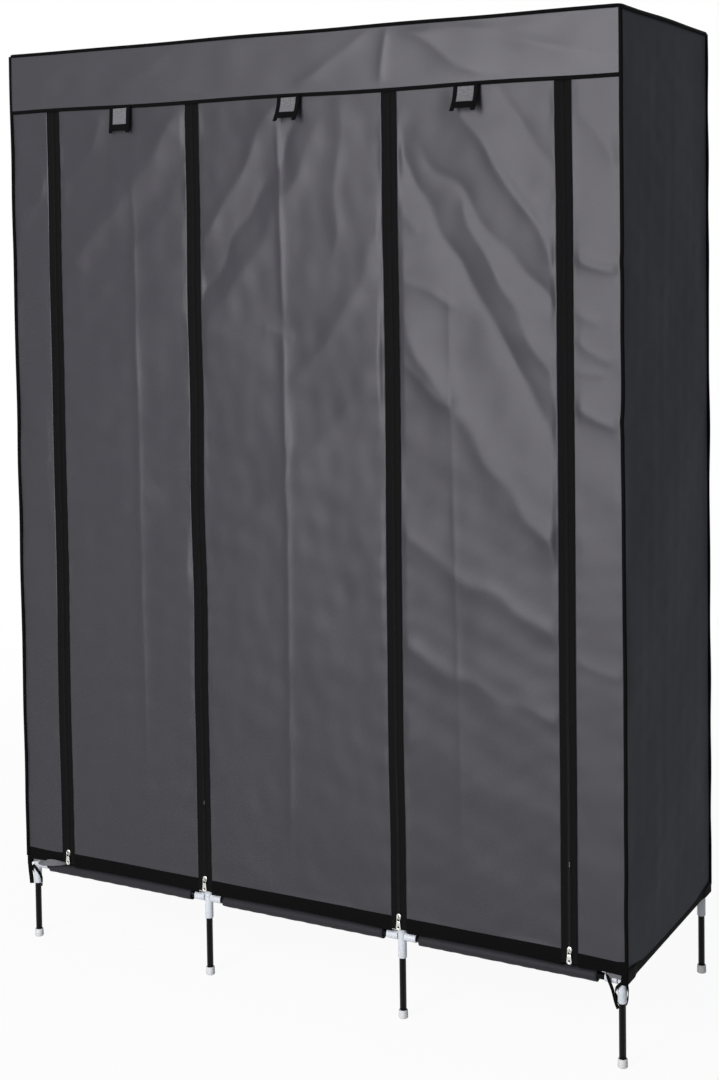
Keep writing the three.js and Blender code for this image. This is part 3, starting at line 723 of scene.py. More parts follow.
class WARDROBE_OT_stage(bpy.types.Operator):
    """Sets the camera, the soft light, the white world and the pale floor"""
    bl_idname = "wardrobe.stage"
    bl_label = "Stage"

    def execute(self, context):
        stage = context.scene.wardrobe_stage
        self.camera(context.scene, stage)
        self.world(context.scene, stage)
        self.floor(tuple(context.scene.wardrobe_colours.floor))
        centre = (0, 0, 0.85)
        add_lamp("key_light", (-0.25, -3.3, 1.5), centre, (1.2, 3.0), stage.key_power, (1.0, 0.99, 0.98))
        add_lamp("top_light", (-0.6, -0.8, 3.6), centre, (2.4, 2.4), stage.top_power, (1.0, 1.0, 1.0))
        context.scene.view_settings.view_transform = "Standard"
        return {"FINISHED"}

    def camera(self, scene, stage):
        """The camera's axes from its yaw, pitch and roll, and its shift that keeps uprights near upright."""
        data = bpy.data.cameras.new("camera")
        data.sensor_width = 36
        data.lens = stage.focal_length
        data.shift_y = stage.camera_shift
        data.clip_start, data.clip_end = 0.05, 200
        camera = bpy.data.objects.new("camera", data)
        scene.collection.objects.link(camera)
        yaw, pitch, roll = stage.camera_turn
        ahead = np.array([math.sin(yaw) * math.cos(pitch), math.cos(yaw) * math.cos(pitch), -math.sin(pitch)])
        level = np.array([math.cos(yaw), -math.sin(yaw), 0])
        right = math.cos(roll) * level + math.sin(roll) * np.cross(level, ahead)
        camera.matrix_world = looking(right, -ahead, np.array(stage.camera_place))
        scene.camera = camera

    def world(self, scene, stage):
        """White where it is seen and a plain level of light elsewhere."""
        world = bpy.data.worlds.new("studio")
        world.use_nodes = True
        tree = world.node_tree
        tree.nodes.clear()
        light = add_node(tree, "ShaderNodeBackground", {"Color": (0.93, 0.96, 1.0, 1), "Strength": stage.world_level})
        white = add_node(tree, "ShaderNodeBackground", {"Color": (1, 1, 1, 1), "Strength": 1.0})
        mixed = add_node(tree, "ShaderNodeMixShader", links={0: seen_rays(tree), 1: light, 2: white})
        add_node(tree, "ShaderNodeOutputWorld", links={"Surface": mixed})
        scene.world = world

    def floor(self, tint):
        """A matt floor, a square grid of cells, that keeps the shadow near the part and fades to the world's
        white further off."""
        reach, cell = 40.0, 10
        x, y = np.meshgrid(spaced(-reach, reach, cell), spaced(-reach, reach, cell))
        index = np.arange(x.size).reshape(x.shape)
        mesh = bpy.data.meshes.new("floor")
        mesh.from_pydata(np.stack([x, y, 0 * x], -1).reshape(-1, 3).tolist(), [],
                         corners(index).reshape(-1, 4).tolist())
        floor = bpy.data.objects.new("floor", mesh)
        bpy.context.scene.collection.objects.link(floor)
        material, tree, shader = blank("matt_studio_floor", {"Base Color": (*tint, 1), "Roughness": 0.9,
                                                             "Specular IOR Level": 0.1})
        place = add_node(tree, "ShaderNodeTexCoord").outputs["Object"]
        far = add_node(tree, "ShaderNodeVectorMath", {"operation": "LENGTH"}, {0: place}).outputs["Value"]
        share = add_node(tree, "ShaderNodeMapRange", {"From Min": 0.7, "From Max": 3.2, "To Min": 0.94,
                                                      "To Max": 1.0}, {"Value": far})
        factor = add_node(tree, "ShaderNodeMath", {"operation": "MULTIPLY"}, {0: share, 1: seen_rays(tree)})
        white = add_node(tree, "ShaderNodeEmission", {"Color": (1, 1, 1, 1), "Strength": 1.0})
        mixed = add_node(tree, "ShaderNodeMixShader", links={0: factor, 1: shader, 2: white})
        tree.links.new(mixed.outputs[0], tree.nodes["Material Output"].inputs["Surface"])
        mesh.materials.append(material)


# Frame

def tube_profile(start, end, radius, wall):
    """The closed outline of a tube's wall as (radius, height): up its outside, over a round rim and down its
    bore."""
    edge = 0.3 * wall
    bore = radius - wall
    return [(bore + edge, start), (radius - edge, start), (radius, start + edge), (radius, end - edge),
            (radius - edge, end), (bore + edge, end), (bore, end - edge), (bore, start + edge)]


def lip_arc(radius, lip):
    """A quarter circle of (radius, height) that rounds the outer edge of a mouth at height 0."""
    turn = np.linspace(0, math.pi / 2, 5)
    return np.stack([radius - lip + lip * np.cos(turn), lip * np.sin(turn) - lip], -1)


def socket_profile(start, end, closed_end, radius, wall, lip):
    """The closed outline of a socket: from its root up the outside, over a round lip at the mouth and down the
    bore to its closed end."""
    bore = radius - wall
    return np.concatenate([[(0, start), (radius, start)], lip_arc(radius, lip) + (0, end),
                           [(bore, end), (bore, closed_end), (0, closed_end)]])


def sleeve_profile(start, end, radius, wall, lip):
    """The closed outline of a sleeve that is open at both ends, with round lips."""
    arc, bore = lip_arc(radius, lip), radius - wall
    return np.concatenate([[(bore, start)], arc[::-1] * (1, -1) + (0, start), arc + (0, end), [(bore, end)]])


def add_tube(skin, sizes, axis, start, end, centre):
    """One tube from start to end along an axis through a centre."""
    skin.hoop(turned(tube_profile(start, end, sizes.tube_radius, sizes.tube_wall), axis, centre))


def add_connector(skin, sizes, centre, along_x, down, up, blind=False):
    """One moulded connector: a sleeve or a blind socket for the upright, a socket for each rail beside it and
    one for the rail that runs inwards."""
    radius, wall, lip = sizes.socket_radius, sizes.socket_wall, sizes.lip
    if blind:
        skin.solid(turned(socket_profile(-up, down, radius, radius, wall, lip), "z", centre, -1))
    else:
        skin.hoop(turned(sleeve_profile(-down, up, radius, wall, lip), "z", centre))
    arm = socket_profile(0 if blind else radius - wall / 2, SIDE_ARM, radius + wall, radius, wall, lip)
    inward = 1 if centre[1] < 0 else -1
    for axis, side in [("x", side) for side in along_x] + [("y", inward)]:
        skin.solid(turned(arm, axis, centre, side))


def sides_of(column, columns=COLUMNS):
    """The sides on which an upright has a neighbour, -1 for the left and 1 for the right."""
    return [side for side, end in ((-1, columns[0]), (1, columns[-1])) if column != end]


class WARDROBE_OT_tubes(bpy.types.Operator):
    """Makes the steel tubes: uprights, rails and the hanging rail"""
    bl_idname = "wardrobe.tubes"
    bl_label = "Tubes"

    def execute(self, context):
        sizes = context.scene.wardrobe_frame
        for row, y in ROWS.items():
            for i, x in enumerate(COLUMNS, 1):
                self.single(sizes, f"upright_{row}_{i}", "z", (x, y, 0))
        for i in (1, 2, 3):
            self.single(sizes, f"bottom_front_rail_{i}", "x", (0, FRONT_ROW, BOTTOM_RAIL))
        for i, x in enumerate(COLUMNS, 1):
            for level, z in (("bottom", BOTTOM_RAIL), ("top", TOP_RAIL)):
                self.single(sizes, f"{level}_depth_rail_{i}", "y", (x, 0, z))
        inset = sizes.socket_radius + sizes.socket_wall
        bays = list(zip(COLUMNS, COLUMNS[1:]))
        for node, y, z in (("bottom_back_rail", BACK_ROW, BOTTOM_RAIL), ("top_front_rail", FRONT_ROW, TOP_RAIL),
                           ("top_back_rail", BACK_ROW, TOP_RAIL)):
            self.joined(sizes, node, [("x", left + inset, right - inset, (0, y, z)) for left, right in bays])
        left, right = bays[0]
        self.joined(sizes, "mid_shelf_frame",
                    [("x", left + inset, right - inset, (0, y, MID_RAIL)) for y in ROWS.values()]
                    + [("y", FRONT_ROW + inset, BACK_ROW - inset, (x, 0, MID_RAIL)) for x in (left, right)])
        self.single(sizes, "hanging_rail", "x", (0, 0, HANGING_RAIL))
        return {"FINISHED"}

    def single(self, sizes, node, axis, centre):
        """One tube, as long as its node."""
        skin = Skin()
        along = "xyz".index(axis)
        add_tube(skin, sizes, axis, low(node)[along], high(node)[along], centre)
        skin.piece(f"{node}_tube", ["tube"], [node])

    def joined(self, sizes, node, runs):
        """The tubes of a node that holds several, between its connectors."""
        skin = Skin()
        for axis, start, end, centre in runs:
            add_tube(skin, sizes, axis, start, end, centre)
        skin.piece(f"{node}_tubes", ["tube"], [node])


class WARDROBE_OT_fittings(bpy.types.Operator):
    """Makes the plastic fittings: connectors, clips and foot caps"""
    bl_idname = "wardrobe.fittings"
    bl_label = "Connectors and feet"

    def execute(self, context):
        sizes = context.scene.wardrobe_frame
        for row, y in ROWS.items():
            bottom, top = Skin(), Skin()
            for i, x in enumerate(COLUMNS, 1):
                own = Skin() if row == "front" else bottom
                add_connector(own, sizes, (x, y, BOTTOM_RAIL), sides_of(x), LEG_ARM, UP_ARM)
                if row == "front":
                    own.piece(f"connector_front_{i}_moulded", ["plastic"], [f"connector_front_{i}"])
                add_connector(top, sizes, (x, y, TOP_RAIL), sides_of(x), SIDE_ARM, sizes.socket_radius, blind=True)
                self.foot(sizes, f"foot_{row}_{i}", x, y)
            if row == "back":
                bottom.piece("bottom_back_connectors", ["plastic"])
            top.piece(f"top_{row}_connectors", ["plastic"])
        self.shelf_corners(sizes)
        self.clips(sizes)
        return {"FINISHED"}

    def foot(self, sizes, node, x, y):
        """A cap pushed on the end of a leg, round along its lower edge and slightly narrower at its mouth."""
        radius, height, rounding = FOOT_RADIUS, FOOT_HEIGHT, 0.0022
        bore, sole = sizes.tube_radius + 0.0003, 0.003
        turn = np.linspace(-math.pi / 2, 0, 6)
        lower = np.stack([radius - rounding + rounding * np.cos(turn), rounding + rounding * np.sin(turn)], -1)
        mouth = [(radius - 0.0005, height - 0.0006), (radius - 0.0011, height), (bore, height)]
        skin = Skin()
        skin.solid(turned(np.concatenate([[(0, 0)], lower, mouth, [(bore, sole), (0, sole)]]), "z", (x, y, 0)))
        skin.piece(f"{node}_cap", ["foot"], [node])

    def shelf_corners(self, sizes):
        """The sleeves that hold the left bay's shelf rails to its uprights."""
        skin = Skin()
        for x in COLUMNS[:2]:
            for y in ROWS.values():
                add_connector(skin, sizes, (x, y, MID_RAIL), sides_of(x, COLUMNS[:2]), UP_ARM, UP_ARM)
        skin.piece("mid_shelf_connectors", ["plastic"])

    def clips(self, sizes):
        """Clips that hang the hanging rail under the top rails: a ring on each, joined by a short neck."""
        skin = Skin()
        neck = [(0, -0.002), (0.0048, -0.002), (0.0048, 0.002), (0, 0.002)]
        for x in COLUMNS[1:]:
            for axis, z, half in (("y", TOP_RAIL, 0.011), ("x", HANGING_RAIL, 0.007)):
                band = sleeve_profile(-half, half, sizes.socket_radius, sizes.socket_wall, sizes.lip)
                skin.hoop(turned(band, axis, (x, 0, z)))
            skin.solid(turned(neck, "z", (x, 0, (TOP_RAIL + HANGING_RAIL) / 2)))
        skin.piece("hanging_rail_clips", ["plastic"])


# Shelves

class WARDROBE_OT_shelves(bpy.types.Operator):
    """Makes the two shelves of cloth, sewn round their rails"""
    bl_idname = "wardrobe.shelves"
    bl_label = "Shelves"

    def execute(self, context):
        cloth = context.scene.wardrobe_cloth
        self.shelf(cloth, "bottom_shelf", COLUMNS, BOTTOM_RAIL, [f"bottom_depth_rail_{i}" for i in (1, 2, 3, 4)])
        self.shelf(cloth, "mid_shelf", COLUMNS[:2], MID_RAIL, ["mid_shelf_frame"])
        return {"FINISHED"}

    def shelf(self, cloth, node, columns, rail, rests_on):
        """A deck that sags between the rails and is cut out round the arms of each connector, and a sleeve in
        each bay round the front and the back rail. The deck's cells inside a cut-out are left out, and the last
        sleeve on the right ends early, where the photo shows the bare rail."""
        skin = Skin()
        notch_x, notch_y, hem, bare = SIDE_ARM + 0.007, SIDE_ARM + 0.005, 0.0015, 0.006
        slim = SOCKET_RADIUS - hem
        top = high(node)[2]
        xs = self.cuts([c + s * n for c in columns for s in (-1, 1) for n in (notch_x, slim)], low(node)[0],
                       high(node)[0])
        ys = self.cuts([row - math.copysign(n, row) for row in ROWS.values() for n in (notch_y, slim)], FRONT_ROW,
                       BACK_ROW)
        x, y = np.meshgrid(xs, ys)
        bays = np.abs(np.sin(math.pi * (x - columns[0]) / BAY))
        depth = np.cos(math.pi * y / (BACK_ROW - FRONT_ROW)).clip(0, 1)
        sag = cloth.shelf_sag * bays * depth + 0.0008 * depth * ripple(x, y, 5, 0.13)
        from_column = np.abs((xs[:-1] + xs[1:]) / 2 - np.array(columns)[:, None]).min(0)[None]
        from_row = np.abs((ys[:-1] + ys[1:]) / 2 - np.array([FRONT_ROW, BACK_ROW])[:, None]).min(0)[:, None]
        cut_out = (from_row < notch_y) & (from_column < slim) | (from_row < slim) & (from_column < notch_x)
        skin.add(np.stack([x, y, top - sag], -1), keep=~cut_out)
        for row in ROWS.values():
            for left, right in zip(columns, columns[1:]):
                ends = (left + notch_x, right - notch_x - (bare if right == COLUMNS[-1] else 0))
                self.sleeve(skin, ends, row, rail)
        piece = skin.piece(f"{node}_cloth", ["shelf"], [node], thickness=cloth.thickness)
        self.edges(node, columns, top, notch_x, notch_y, slim + hem)

    def edges(self, node, columns, top, notch_x, notch_y, inset):
        """Black binding sewn over the edges of the cut-outs, bent round the inner corner of each. It is drawn 5 mm
        wide, so that its black also stands in for the shade in the gaps round the connectors: partly binding, partly
        painted shade.
        """
        skin = Skin()
        corner = smoothed([(notch_x, inset, 0), (inset, inset, 0), (inset, notch_y + 0.02, 0)])
        for c in columns:
            for row in ROWS.values():
                for side in sides_of(c, columns):
                    path = (c, row, top + 0.0003) + corner * (side, -math.copysign(1, row), 1)
                    # a 5 mm black strip: binding, and painted shade in the gaps round the connectors
                    skin.cord(path, strip_section(0.005, 0.0018), (0, 0, 1))
        skin.piece(f"{node}_binding", ["binding"])

    def cuts(self, places, start, end):
        """Grid lines from start to end that also run through the given places."""
        stops = sorted({start, end, *[p for p in places if start < p < end]})
        return np.unique(np.concatenate([spaced(a, b, 0.012) for a, b in zip(stops, stops[1:])]).round(7))

    def sleeve(self, skin, ends, y, z):
        """A sleeve round a rail: a slack tube that hangs a little lower than the rail, with small puckers."""
        along = spaced(*ends, 0.006)[:, None]
        turn = np.linspace(0, 2 * math.pi, 25)[None, :-1]
        lower = (1 - np.cos(turn)) / 2
        pucker_wave = np.sin(along * 190 + 2 * np.sin(3 * turn + along * 31))
        reach = TUBE_RADIUS + SLEEVE_OUT + (0.0020 + 0.00035 * pucker_wave) * lower
        grid = np.stack([along + 0 * turn, y + reach * np.sin(turn), z + reach * np.cos(turn)], -1)
        skin.add(grid, loop_columns=True)


# Cover

def add_wall(skin, xs, zs, relief, distance, quarter):
    """One hanging wall of cloth between lines across and up, with a relief worked out at each point."""
    x, z = np.meshgrid(xs, zs)
    skin.add(standing(x, z, relief(x, z), distance, quarter), flat=np.stack([x, z], -1))


class WARDROBE_OT_cover(bpy.types.Operator):
    """Makes the cover's cloth: top, back, sides, fixed front strips and the band above the doors"""
    bl_idname = "wardrobe.cover"
    bl_label = "Cover"

    def execute(self, context):
        cloth = context.scene.wardrobe_cloth
        self.top(cloth)
        self.back(cloth)
        for side, quarter in (("left", 3), ("right", 1)):
            self.side(cloth, side, quarter)
            self.strip(cloth, side)
        self.valance(cloth)
        return {"FINISHED"}

    def panel(self, skin, cloth, name, finish_key, nodes, flat, rests_on=("top_front_rail",), held="hung"):
        """Makes a panel of cloth an object."""
        piece = skin.piece(name, [finish_key], nodes, thickness=cloth.thickness)

    def top(self, cloth):
        """The top sags a little in each bay between the rails that it lies on."""
        skin = Skin()
        x, y = np.meshgrid(spaced(-SIDE_FACE, SIDE_FACE, 0.01), spaced(-VALANCE_FACE, BACK_FACE, 0.01))
        bays = np.abs(np.sin(math.pi * (x - COLUMNS[0]) / BAY))
        depth = np.cos(math.pi * y / (2 * BACK_FACE)).clip(0, 1)
        sag = (cloth.roof_sag * bays + 0.0007 * ripple(x, y, 3, 0.16)) * depth * (np.abs(x) < COLUMNS[-1])
        skin.add(np.stack([x, y, TOP_FACE - sag], -1))
        self.panel(skin, cloth, "cover_top_cloth", "cloth", ["cover_top"], (2 * SIDE_FACE, VALANCE_FACE + BACK_FACE),
                   ("top_front_rail", "top_back_rail"), "laid")

    def back(self, cloth):
        """The back wall, with the frame's slanting folds and a finer ripple."""
        skin = Skin()
        reach = SIDE_FACE - cloth.thickness
        edges, swells = (-reach, reach, HEM_LOW, WALL_TOP), ((0.0008, 11, 0.21), (0.0004, 12, 0.07))
        add_wall(skin, spaced(-reach, reach, 0.01), spaced(HEM_LOW + 0.002, WALL_TOP, 0.01),
                 lambda x, z: hanging(x, z, edges, (2, 1.5, 0.4), swells), BACK_FACE, 2)
        self.panel(skin, cloth, "cover_back_cloth", "cloth", ["cover_back"], (2 * reach, WALL_TOP - HEM_LOW),
                   ("top_back_rail",))

    def side(self, cloth, side, quarter):
        """A side wall. It stays nearly flat, with slow slanting folds and shallow dents, and its lower edge comes
        10 mm further down between the corners' connectors."""
        skin = Skin()
        turns = (3, 0.5, 0.2) if side == "left" else (2.5, -0.6, 0.1)
        edges, swells = (-FRONT_FACE, BACK_FACE, HEM_LOW, WALL_TOP), ((0.0008, 21 + quarter, 0.24), (0.0003, 25, 0.06))
        across = spaced(-FRONT_FACE, BACK_FACE, 0.007)
        x, z = np.meshgrid(across if quarter == 1 else -across[::-1], spaced(HEM_LOW + 0.002, WALL_TOP, 0.008))
        z = z - 0.010 * rising((0.185 - np.abs(x)) / 0.03) * rising(1 - (z - HEM_LOW) / 0.08)
        relief = hanging(x, z, edges, turns, swells)
        skin.add(standing(x, z, relief, SIDE_FACE, quarter), flat=np.stack([x, z], -1))
        self.panel(skin, cloth, f"cover_{side}_wall", "side", [f"cover_{side}_side"],
                   (FRONT_FACE + BACK_FACE, WALL_TOP - HEM_LOW), ("top_front_rail", "top_back_rail"))

    def strip(self, cloth, side):
        """The fixed strip between a corner and the outer zip."""
        skin = Skin()
        sign = -1 if side == "left" else 1
        left, right = sorted((sign * (abs(ZIPS[0]) + CLOTH_EDGE), sign * SIDE_FACE))

        def relief(x, z):
            main = folded(x, z, STRIP_FOLDS, 0.002) + 0.0006 * ripple(x, z, 31, 0.12)
            return sewn(x, z, (left, right, HEM_LOW, WALL_TOP), main, 0.018, 0.0003)

        add_wall(skin, spaced(left, right, 0.004), spaced(HEM_LOW + 0.002, WALL_TOP, 0.005), relief, FRONT_FACE, 0)
        self.panel(skin, cloth, f"{side}_front_strip", "cloth", (), (right - left, WALL_TOP - HEM_LOW))

    def valance(self, cloth):
        """The band above the doors, with creases that fan out from where the rail behind it lifts it."""
        skin = Skin()

        def relief(x, z):
            free = rising((SIDE_FACE - np.abs(x)) / 0.03) * rising((WALL_TOP - z) / 0.02)
            main = folded(x, z, VALANCE_FOLDS, 0.002) + 0.0005 * ripple(x, z, 41, 0.11)
            return free * main * rising((z - DOOR_TOP) / 0.025)

        add_wall(skin, spaced(-SIDE_FACE, SIDE_FACE, 0.004), spaced(VALANCE_LOW + 0.005, WALL_TOP, 0.004), relief,
                 VALANCE_FACE, 0)
        self.panel(skin, cloth, "front_valance_cloth", "band", ["front_valance"],
                   (2 * SIDE_FACE, WALL_TOP - VALANCE_LOW))


# Trim

STITCH = [(0, -0.0014), (0.00026, -0.0010), (0.00032, 0), (0.00026, 0.0010), (0, 0.0014)]
KINKS = (1.337, 1.076)  # heights at which creases draw in the piping of the front right corner


def add_band(skin, across, bottom, top, distance, thickness, quarter):
    """A folded band of cloth along a wall: a closed strip between two heights, round along both edges. The
    section runs up the front, over the top fold, down the back and under the lower fold."""
    radius = thickness / 2
    turn = np.linspace(0, math.pi, 6)
    out = radius * np.concatenate([np.cos(turn), -np.cos(turn)])[None]
    lift = radius * np.concatenate([np.sin(turn) - 1, 1 - np.sin(turn)])[None]
    ends = np.concatenate([np.ones(6), np.zeros(6)])[None]
    bottom, top = (np.broadcast_to(value, across.shape)[:, None] for value in (bottom, top))
    grid = standing(across[:, None] + 0 * out, bottom + (top - bottom) * ends + lift, out - radius, distance, quarter)
    skin.solid(capped(grid), flip=True)


def stitch(skin, left, right, face, height, pitch):
    """A level row of stitches on a face at the front: small spindles, each most of a pitch long. A real stitch
    is finer, and they are drawn as thick as they need to show."""
    count = max(2, int((right - left) / pitch))
    places = np.linspace((left, -face, height), (right, -face, height), count)
    skin.repeat(turned(STITCH, "x", sides=5), places, 1)


class WARDROBE_OT_trim(bpy.types.Operator):
    """Makes the black piping, hems and binding of the cover, and the ties and patches at its front corners"""
    bl_idname = "wardrobe.trim"
    bl_label = "Piping and hems"

    def execute(self, context):
        cloth, zips = context.scene.wardrobe_cloth, context.scene.wardrobe_zips
        self.top_piping(cloth)
        self.corner_piping(cloth)
        self.strip_hems(cloth, zips)
        self.back_hem(cloth)
        for name, quarter in (("left_side", 3), ("right_side", 1)):
            self.side_hem(cloth, name, quarter)
        self.binding(zips)
        self.ties()
        self.patches()
        return {"FINISHED"}

    def top_piping(self, cloth):
        """Piping round the top: a round section carried along a rectangle with round corners, which wanders
        by up to a millimetre."""
        half_x, half_y, corner = SIDE_FACE + 0.0005, FRONT_FACE + 0.0012, 0.008
        turn = np.linspace(0, math.pi / 2, 7)
        bends = []
        for quarter, (sx, sy) in enumerate(((1, -1), (1, 1), (-1, 1), (-1, -1))):
            angle = turn + (quarter - 1) * math.pi / 2
            bends.append(np.stack([sx * (half_x - corner) + corner * np.cos(angle),
                                   sy * (half_y - corner) + corner * np.sin(angle)], -1))
        runs = []
        for bend, following in zip(bends, bends[1:] + bends[:1]):
            share = spaced(0, 1, 0.02)[1:-1, None]
            runs += [bend, bend[-1] + (following[0] - bend[-1]) * share]
        path = np.concatenate(runs)
        lift = TOP_FACE - 0.0008 + 0.0006 * ripple(path[:, 0], path[:, 1], 51, 0.3)
        skin = Skin()
        skin.hoop(swept(np.column_stack([path, lift]), ring(cloth.piping_radius), (0, 0, 1), loop=True))
        skin.piece("cover_top_piping", ["binding"])

    def corner_piping(self, cloth):
        """Piping down each corner of the cover, with small kinks where the cloth creases."""
        z = spaced(HEM_LOW + 0.004, TOP_FACE - 0.002, 0.008)
        for name, sx, sy, seed in (("front_left", -1, -1, 61), ("front_right", 1, -1, 62), ("back_left", -1, 1, 63),
                                   ("back_right", 1, 1, 64)):
            shift = 0.0009 * rising((z - 0.2) / 0.1) * ripple(z, 0 * z, seed, 0.16, 8)
            for kink in KINKS if name == "front_right" else ():
                shift -= 0.0026 * np.exp(-np.abs(z - kink) / 0.012)
            face = FRONT_FACE if sy < 0 else BACK_FACE
            path = np.stack([sx * (SIDE_FACE + 0.0004) + shift, sy * (face + 0.0004) - 0.6 * shift, z], -1)
            skin = Skin()
            skin.cord(path, ring(cloth.piping_radius, cloth.piping_radius * 1.1), (sx, sy, 0))
            skin.piece(f"{name}_piping", ["binding"])

    def strip_hems(self, cloth, zips):
        """The black hems of the fixed strips. They narrow a little between their ends. At their ends they reach 3 mm
        below the hem's height, and that black is painted shade, standing for the shade on the sleeve under them.
        """
        for side, sign in (("left", -1), ("right", 1)):
            inner, outer = sorted((sign * (abs(ZIPS[0]) + CLOTH_EDGE + 0.001), sign * (SIDE_FACE + PROUD)))
            x = spaced(inner, outer, 0.006)
            rise = 0.0015 * np.sin(math.pi * (x - inner) / (outer - inner))
            skin = Skin()
            # the 3 mm below HEM_LOW is painted shade over the sleeve under the hem
            add_band(skin, x, HEM_LOW - 0.003 + rise, HEM_TOP - 0.002 - rise, FRONT_FACE + PROUD,
                     cloth.hem_thickness, 0)
            stitch(skin, inner, outer, FRONT_FACE + PROUD, HEM_TOP - 0.005, zips.stitch_pitch)
            skin.piece(f"{side}_strip_hem", ["binding", "thread"])

    def back_hem(self, cloth):
        """The back's hem, which rises a little at its middle."""
        x = spaced(-SIDE_FACE, SIDE_FACE, 0.01)
        bottom = HEM_LOW + 0.002 * np.cos(math.pi * x / (2 * SIDE_FACE))
        skin = Skin()
        add_band(skin, x, bottom, bottom + cloth.side_hem, BACK_FACE + PROUD, cloth.hem_thickness, 2)
        skin.piece("back_hem", ["binding"])

    def side_hem(self, cloth, name, quarter):
        """A side's hem: low enough to hide the rail behind it, broad at the corners and narrow between, and
        pushed out a little where the corner's connectors stand behind it."""
        y = spaced(-FRONT_FACE, BACK_FACE, 0.006)
        from_front, from_back = y + FRONT_FACE, BACK_FACE - y
        bottom = 0.1465 + 0.012 * from_front
        corners_broad = 0.012 * np.exp(-from_front / 0.05) + 0.008 * np.exp(-from_back / 0.05)
        top = bottom + 0.014 + corners_broad - 0.004 * rising((0.17 - np.abs(y)) / 0.03)
        face = SIDE_FACE + PROUD + 0.0028 * (1 - rising((0.195 - np.abs(y)) / 0.02))
        across, bottom, top, face = (y, bottom, top, face) if quarter == 1 else (-y[::-1], bottom[::-1], top[::-1],
                                                                                 face[::-1])
        skin = Skin()
        add_band(skin, across, bottom, top, face[:, None], cloth.hem_thickness, quarter)
        skin.piece(f"{name}_hem", ["binding"])

    def binding(self, zips):
        """The binding along the lower edge of the band above the doors, with a row of stitches near its top."""
        skin = Skin()
        end, face, thickness = SIDE_FACE + 0.0004, BINDING_FACE + 0.0004, 0.0026
        x = spaced(-end, end, 0.01)
        dip = 0.0009 * ripple(x, 0 * x, 71, 0.35, 6) * rising((SIDE_FACE - np.abs(x)) / 0.08)
        add_band(skin, x, VALANCE_LOW + 0.003 + dip, DOOR_TOP + dip, face, thickness, 0)
        stitch(skin, -SIDE_FACE, SIDE_FACE, face, DOOR_TOP - 0.002, zips.stitch_pitch)
        skin.piece("front_valance_binding", ["binding", "thread"])

    def ties(self):
        """Black straps at the front corners: a broad end below the corner seam, and narrow elastic that loops
        round the leg under its socket. The right corner has one more elastic, over the connector's arm."""
        forwards = (0.3, -1, 0)
        broad = {
            "left": [(10.0, -10.5, 172), (10.5, -11.2, 160), (10.8, -11.0, 146), (10.2, -10.0, 132),
                     (9.4, -8.8, 118), (8.6, -8.8, 108)],
            "right": [(9.5, -10.5, 172), (9.5, -11.0, 162), (8.5, -10.5, 152), (7.0, -9.5, 143)],
        }
        loop = [(3.0, -11.0, 147), (-6.0, -10.5, 138), (-10.5, -5.5, 128), (-9.6, 0, 118), (-7.4, 3.5, 106),
                (-4.0, 7.0, 101), (1.0, 8.4, 101), (6.5, 7.0, 110), (9.8, 3.0, 126), (11.0, -4.5, 140),
                (9.0, -9.5, 147)]
        over = [(-24, 2.0, 160.5), (-23.5, -6.0, 160.0), (-22.0, -11.5, 156), (-18.0, -12.2, 146),
                (-13.5, -10.5, 134), (-10.6, -9.0, 121), (-7.6, -10.2, 111), (-3.0, -12.0, 103)]
        for side, sign, width in (("left", -1, 0.009), ("right", 1, 0.013)):
            skin = Skin()
            self.strap(skin, sign, broad[side], width, 0.0014, forwards)
            self.strap(skin, sign, loop, 0.0052, 0.0013)
            if side == "right":
                self.strap(skin, sign, over, 0.0056, 0.0013, forwards)
            skin.piece(f"front_{side}_corner_tie", ["binding"])

    def strap(self, skin, sign, points, width, thickness, facing=None):
        """A flat strap along points given in millimetres from a corner leg's axis, mirrored for the left corner.
        It faces away from the leg unless it is given where to face."""
        leg = np.array([sign * COLUMNS[-1], FRONT_ROW, 0])
        path = smoothed(np.array(points) * MM * (sign, 1, 1)) + leg
        facing = (path - leg) * (1, 1, 0) if facing is None else facing
        skin.cord(path, strip_section(width, thickness), facing)

    def patches(self):
        """Pale cloth at the front corners: a flap over the right connector's arm, and at the left a flap and a
        twisted ribbon that reaches to the first zip. Each is a strip whose facing turns along it."""
        self.ribbon("front_right_corner_patch", [
            (592, -222.5, 156.5), (600, -223.2, 159.0), (609, -223.5, 160.0), (618, -222.8, 159.0),
        ], (0.011, 0.015), (0.0, 0.25))
        self.ribbon("front_left_corner_patch", [
            (-616, -222.5, 158.0), (-608, -223.2, 161.0), (-600, -223.0, 164.0),
        ], (0.010, 0.007), (0.2, 0.0))
        self.ribbon("front_left_corner_ribbon", [
            (-603, -223.5, 153.5), (-590, -226.2, 155.5), (-575, -227.0, 159.0), (-560, -227.2, 161.5),
            (-545, -226.8, 162.5), (-533, -226.2, 164.0),
        ], (0.005, 0.004), (1.1, -0.9), swell=0.008)

    def ribbon(self, name, points, widths, twists, swell=0):
        """A soft ribbon along points in millimetres: its width goes from the first to the second value, wider by
        the swell at its middle, and its facing turns from the first twist to the second."""
        path = smoothed(np.array(points) * MM)
        share = np.linspace(0, 1, len(path))[:, None, None]
        angle = twists[0] + (twists[1] - twists[0]) * share[:, 0]
        facing = np.concatenate([0 * angle, -np.cos(angle), np.sin(angle)], 1)
        unit = swept(path, strip_section(1.0, 0.0012), facing) - path[:, None]
        across = np.cross(np.gradient(path, axis=0), facing)
        across /= np.linalg.norm(across, axis=1, keepdims=True)
        along = (unit * across[:, None]).sum(-1, keepdims=True)
        width = widths[0] + (widths[1] - widths[0]) * share + swell * np.sin(math.pi * share)
        skin = Skin()
        skin.solid(capped(path[:, None] + unit + across[:, None] * along * (width - 1)))
        skin.piece(name, ["patch"])


# Doors

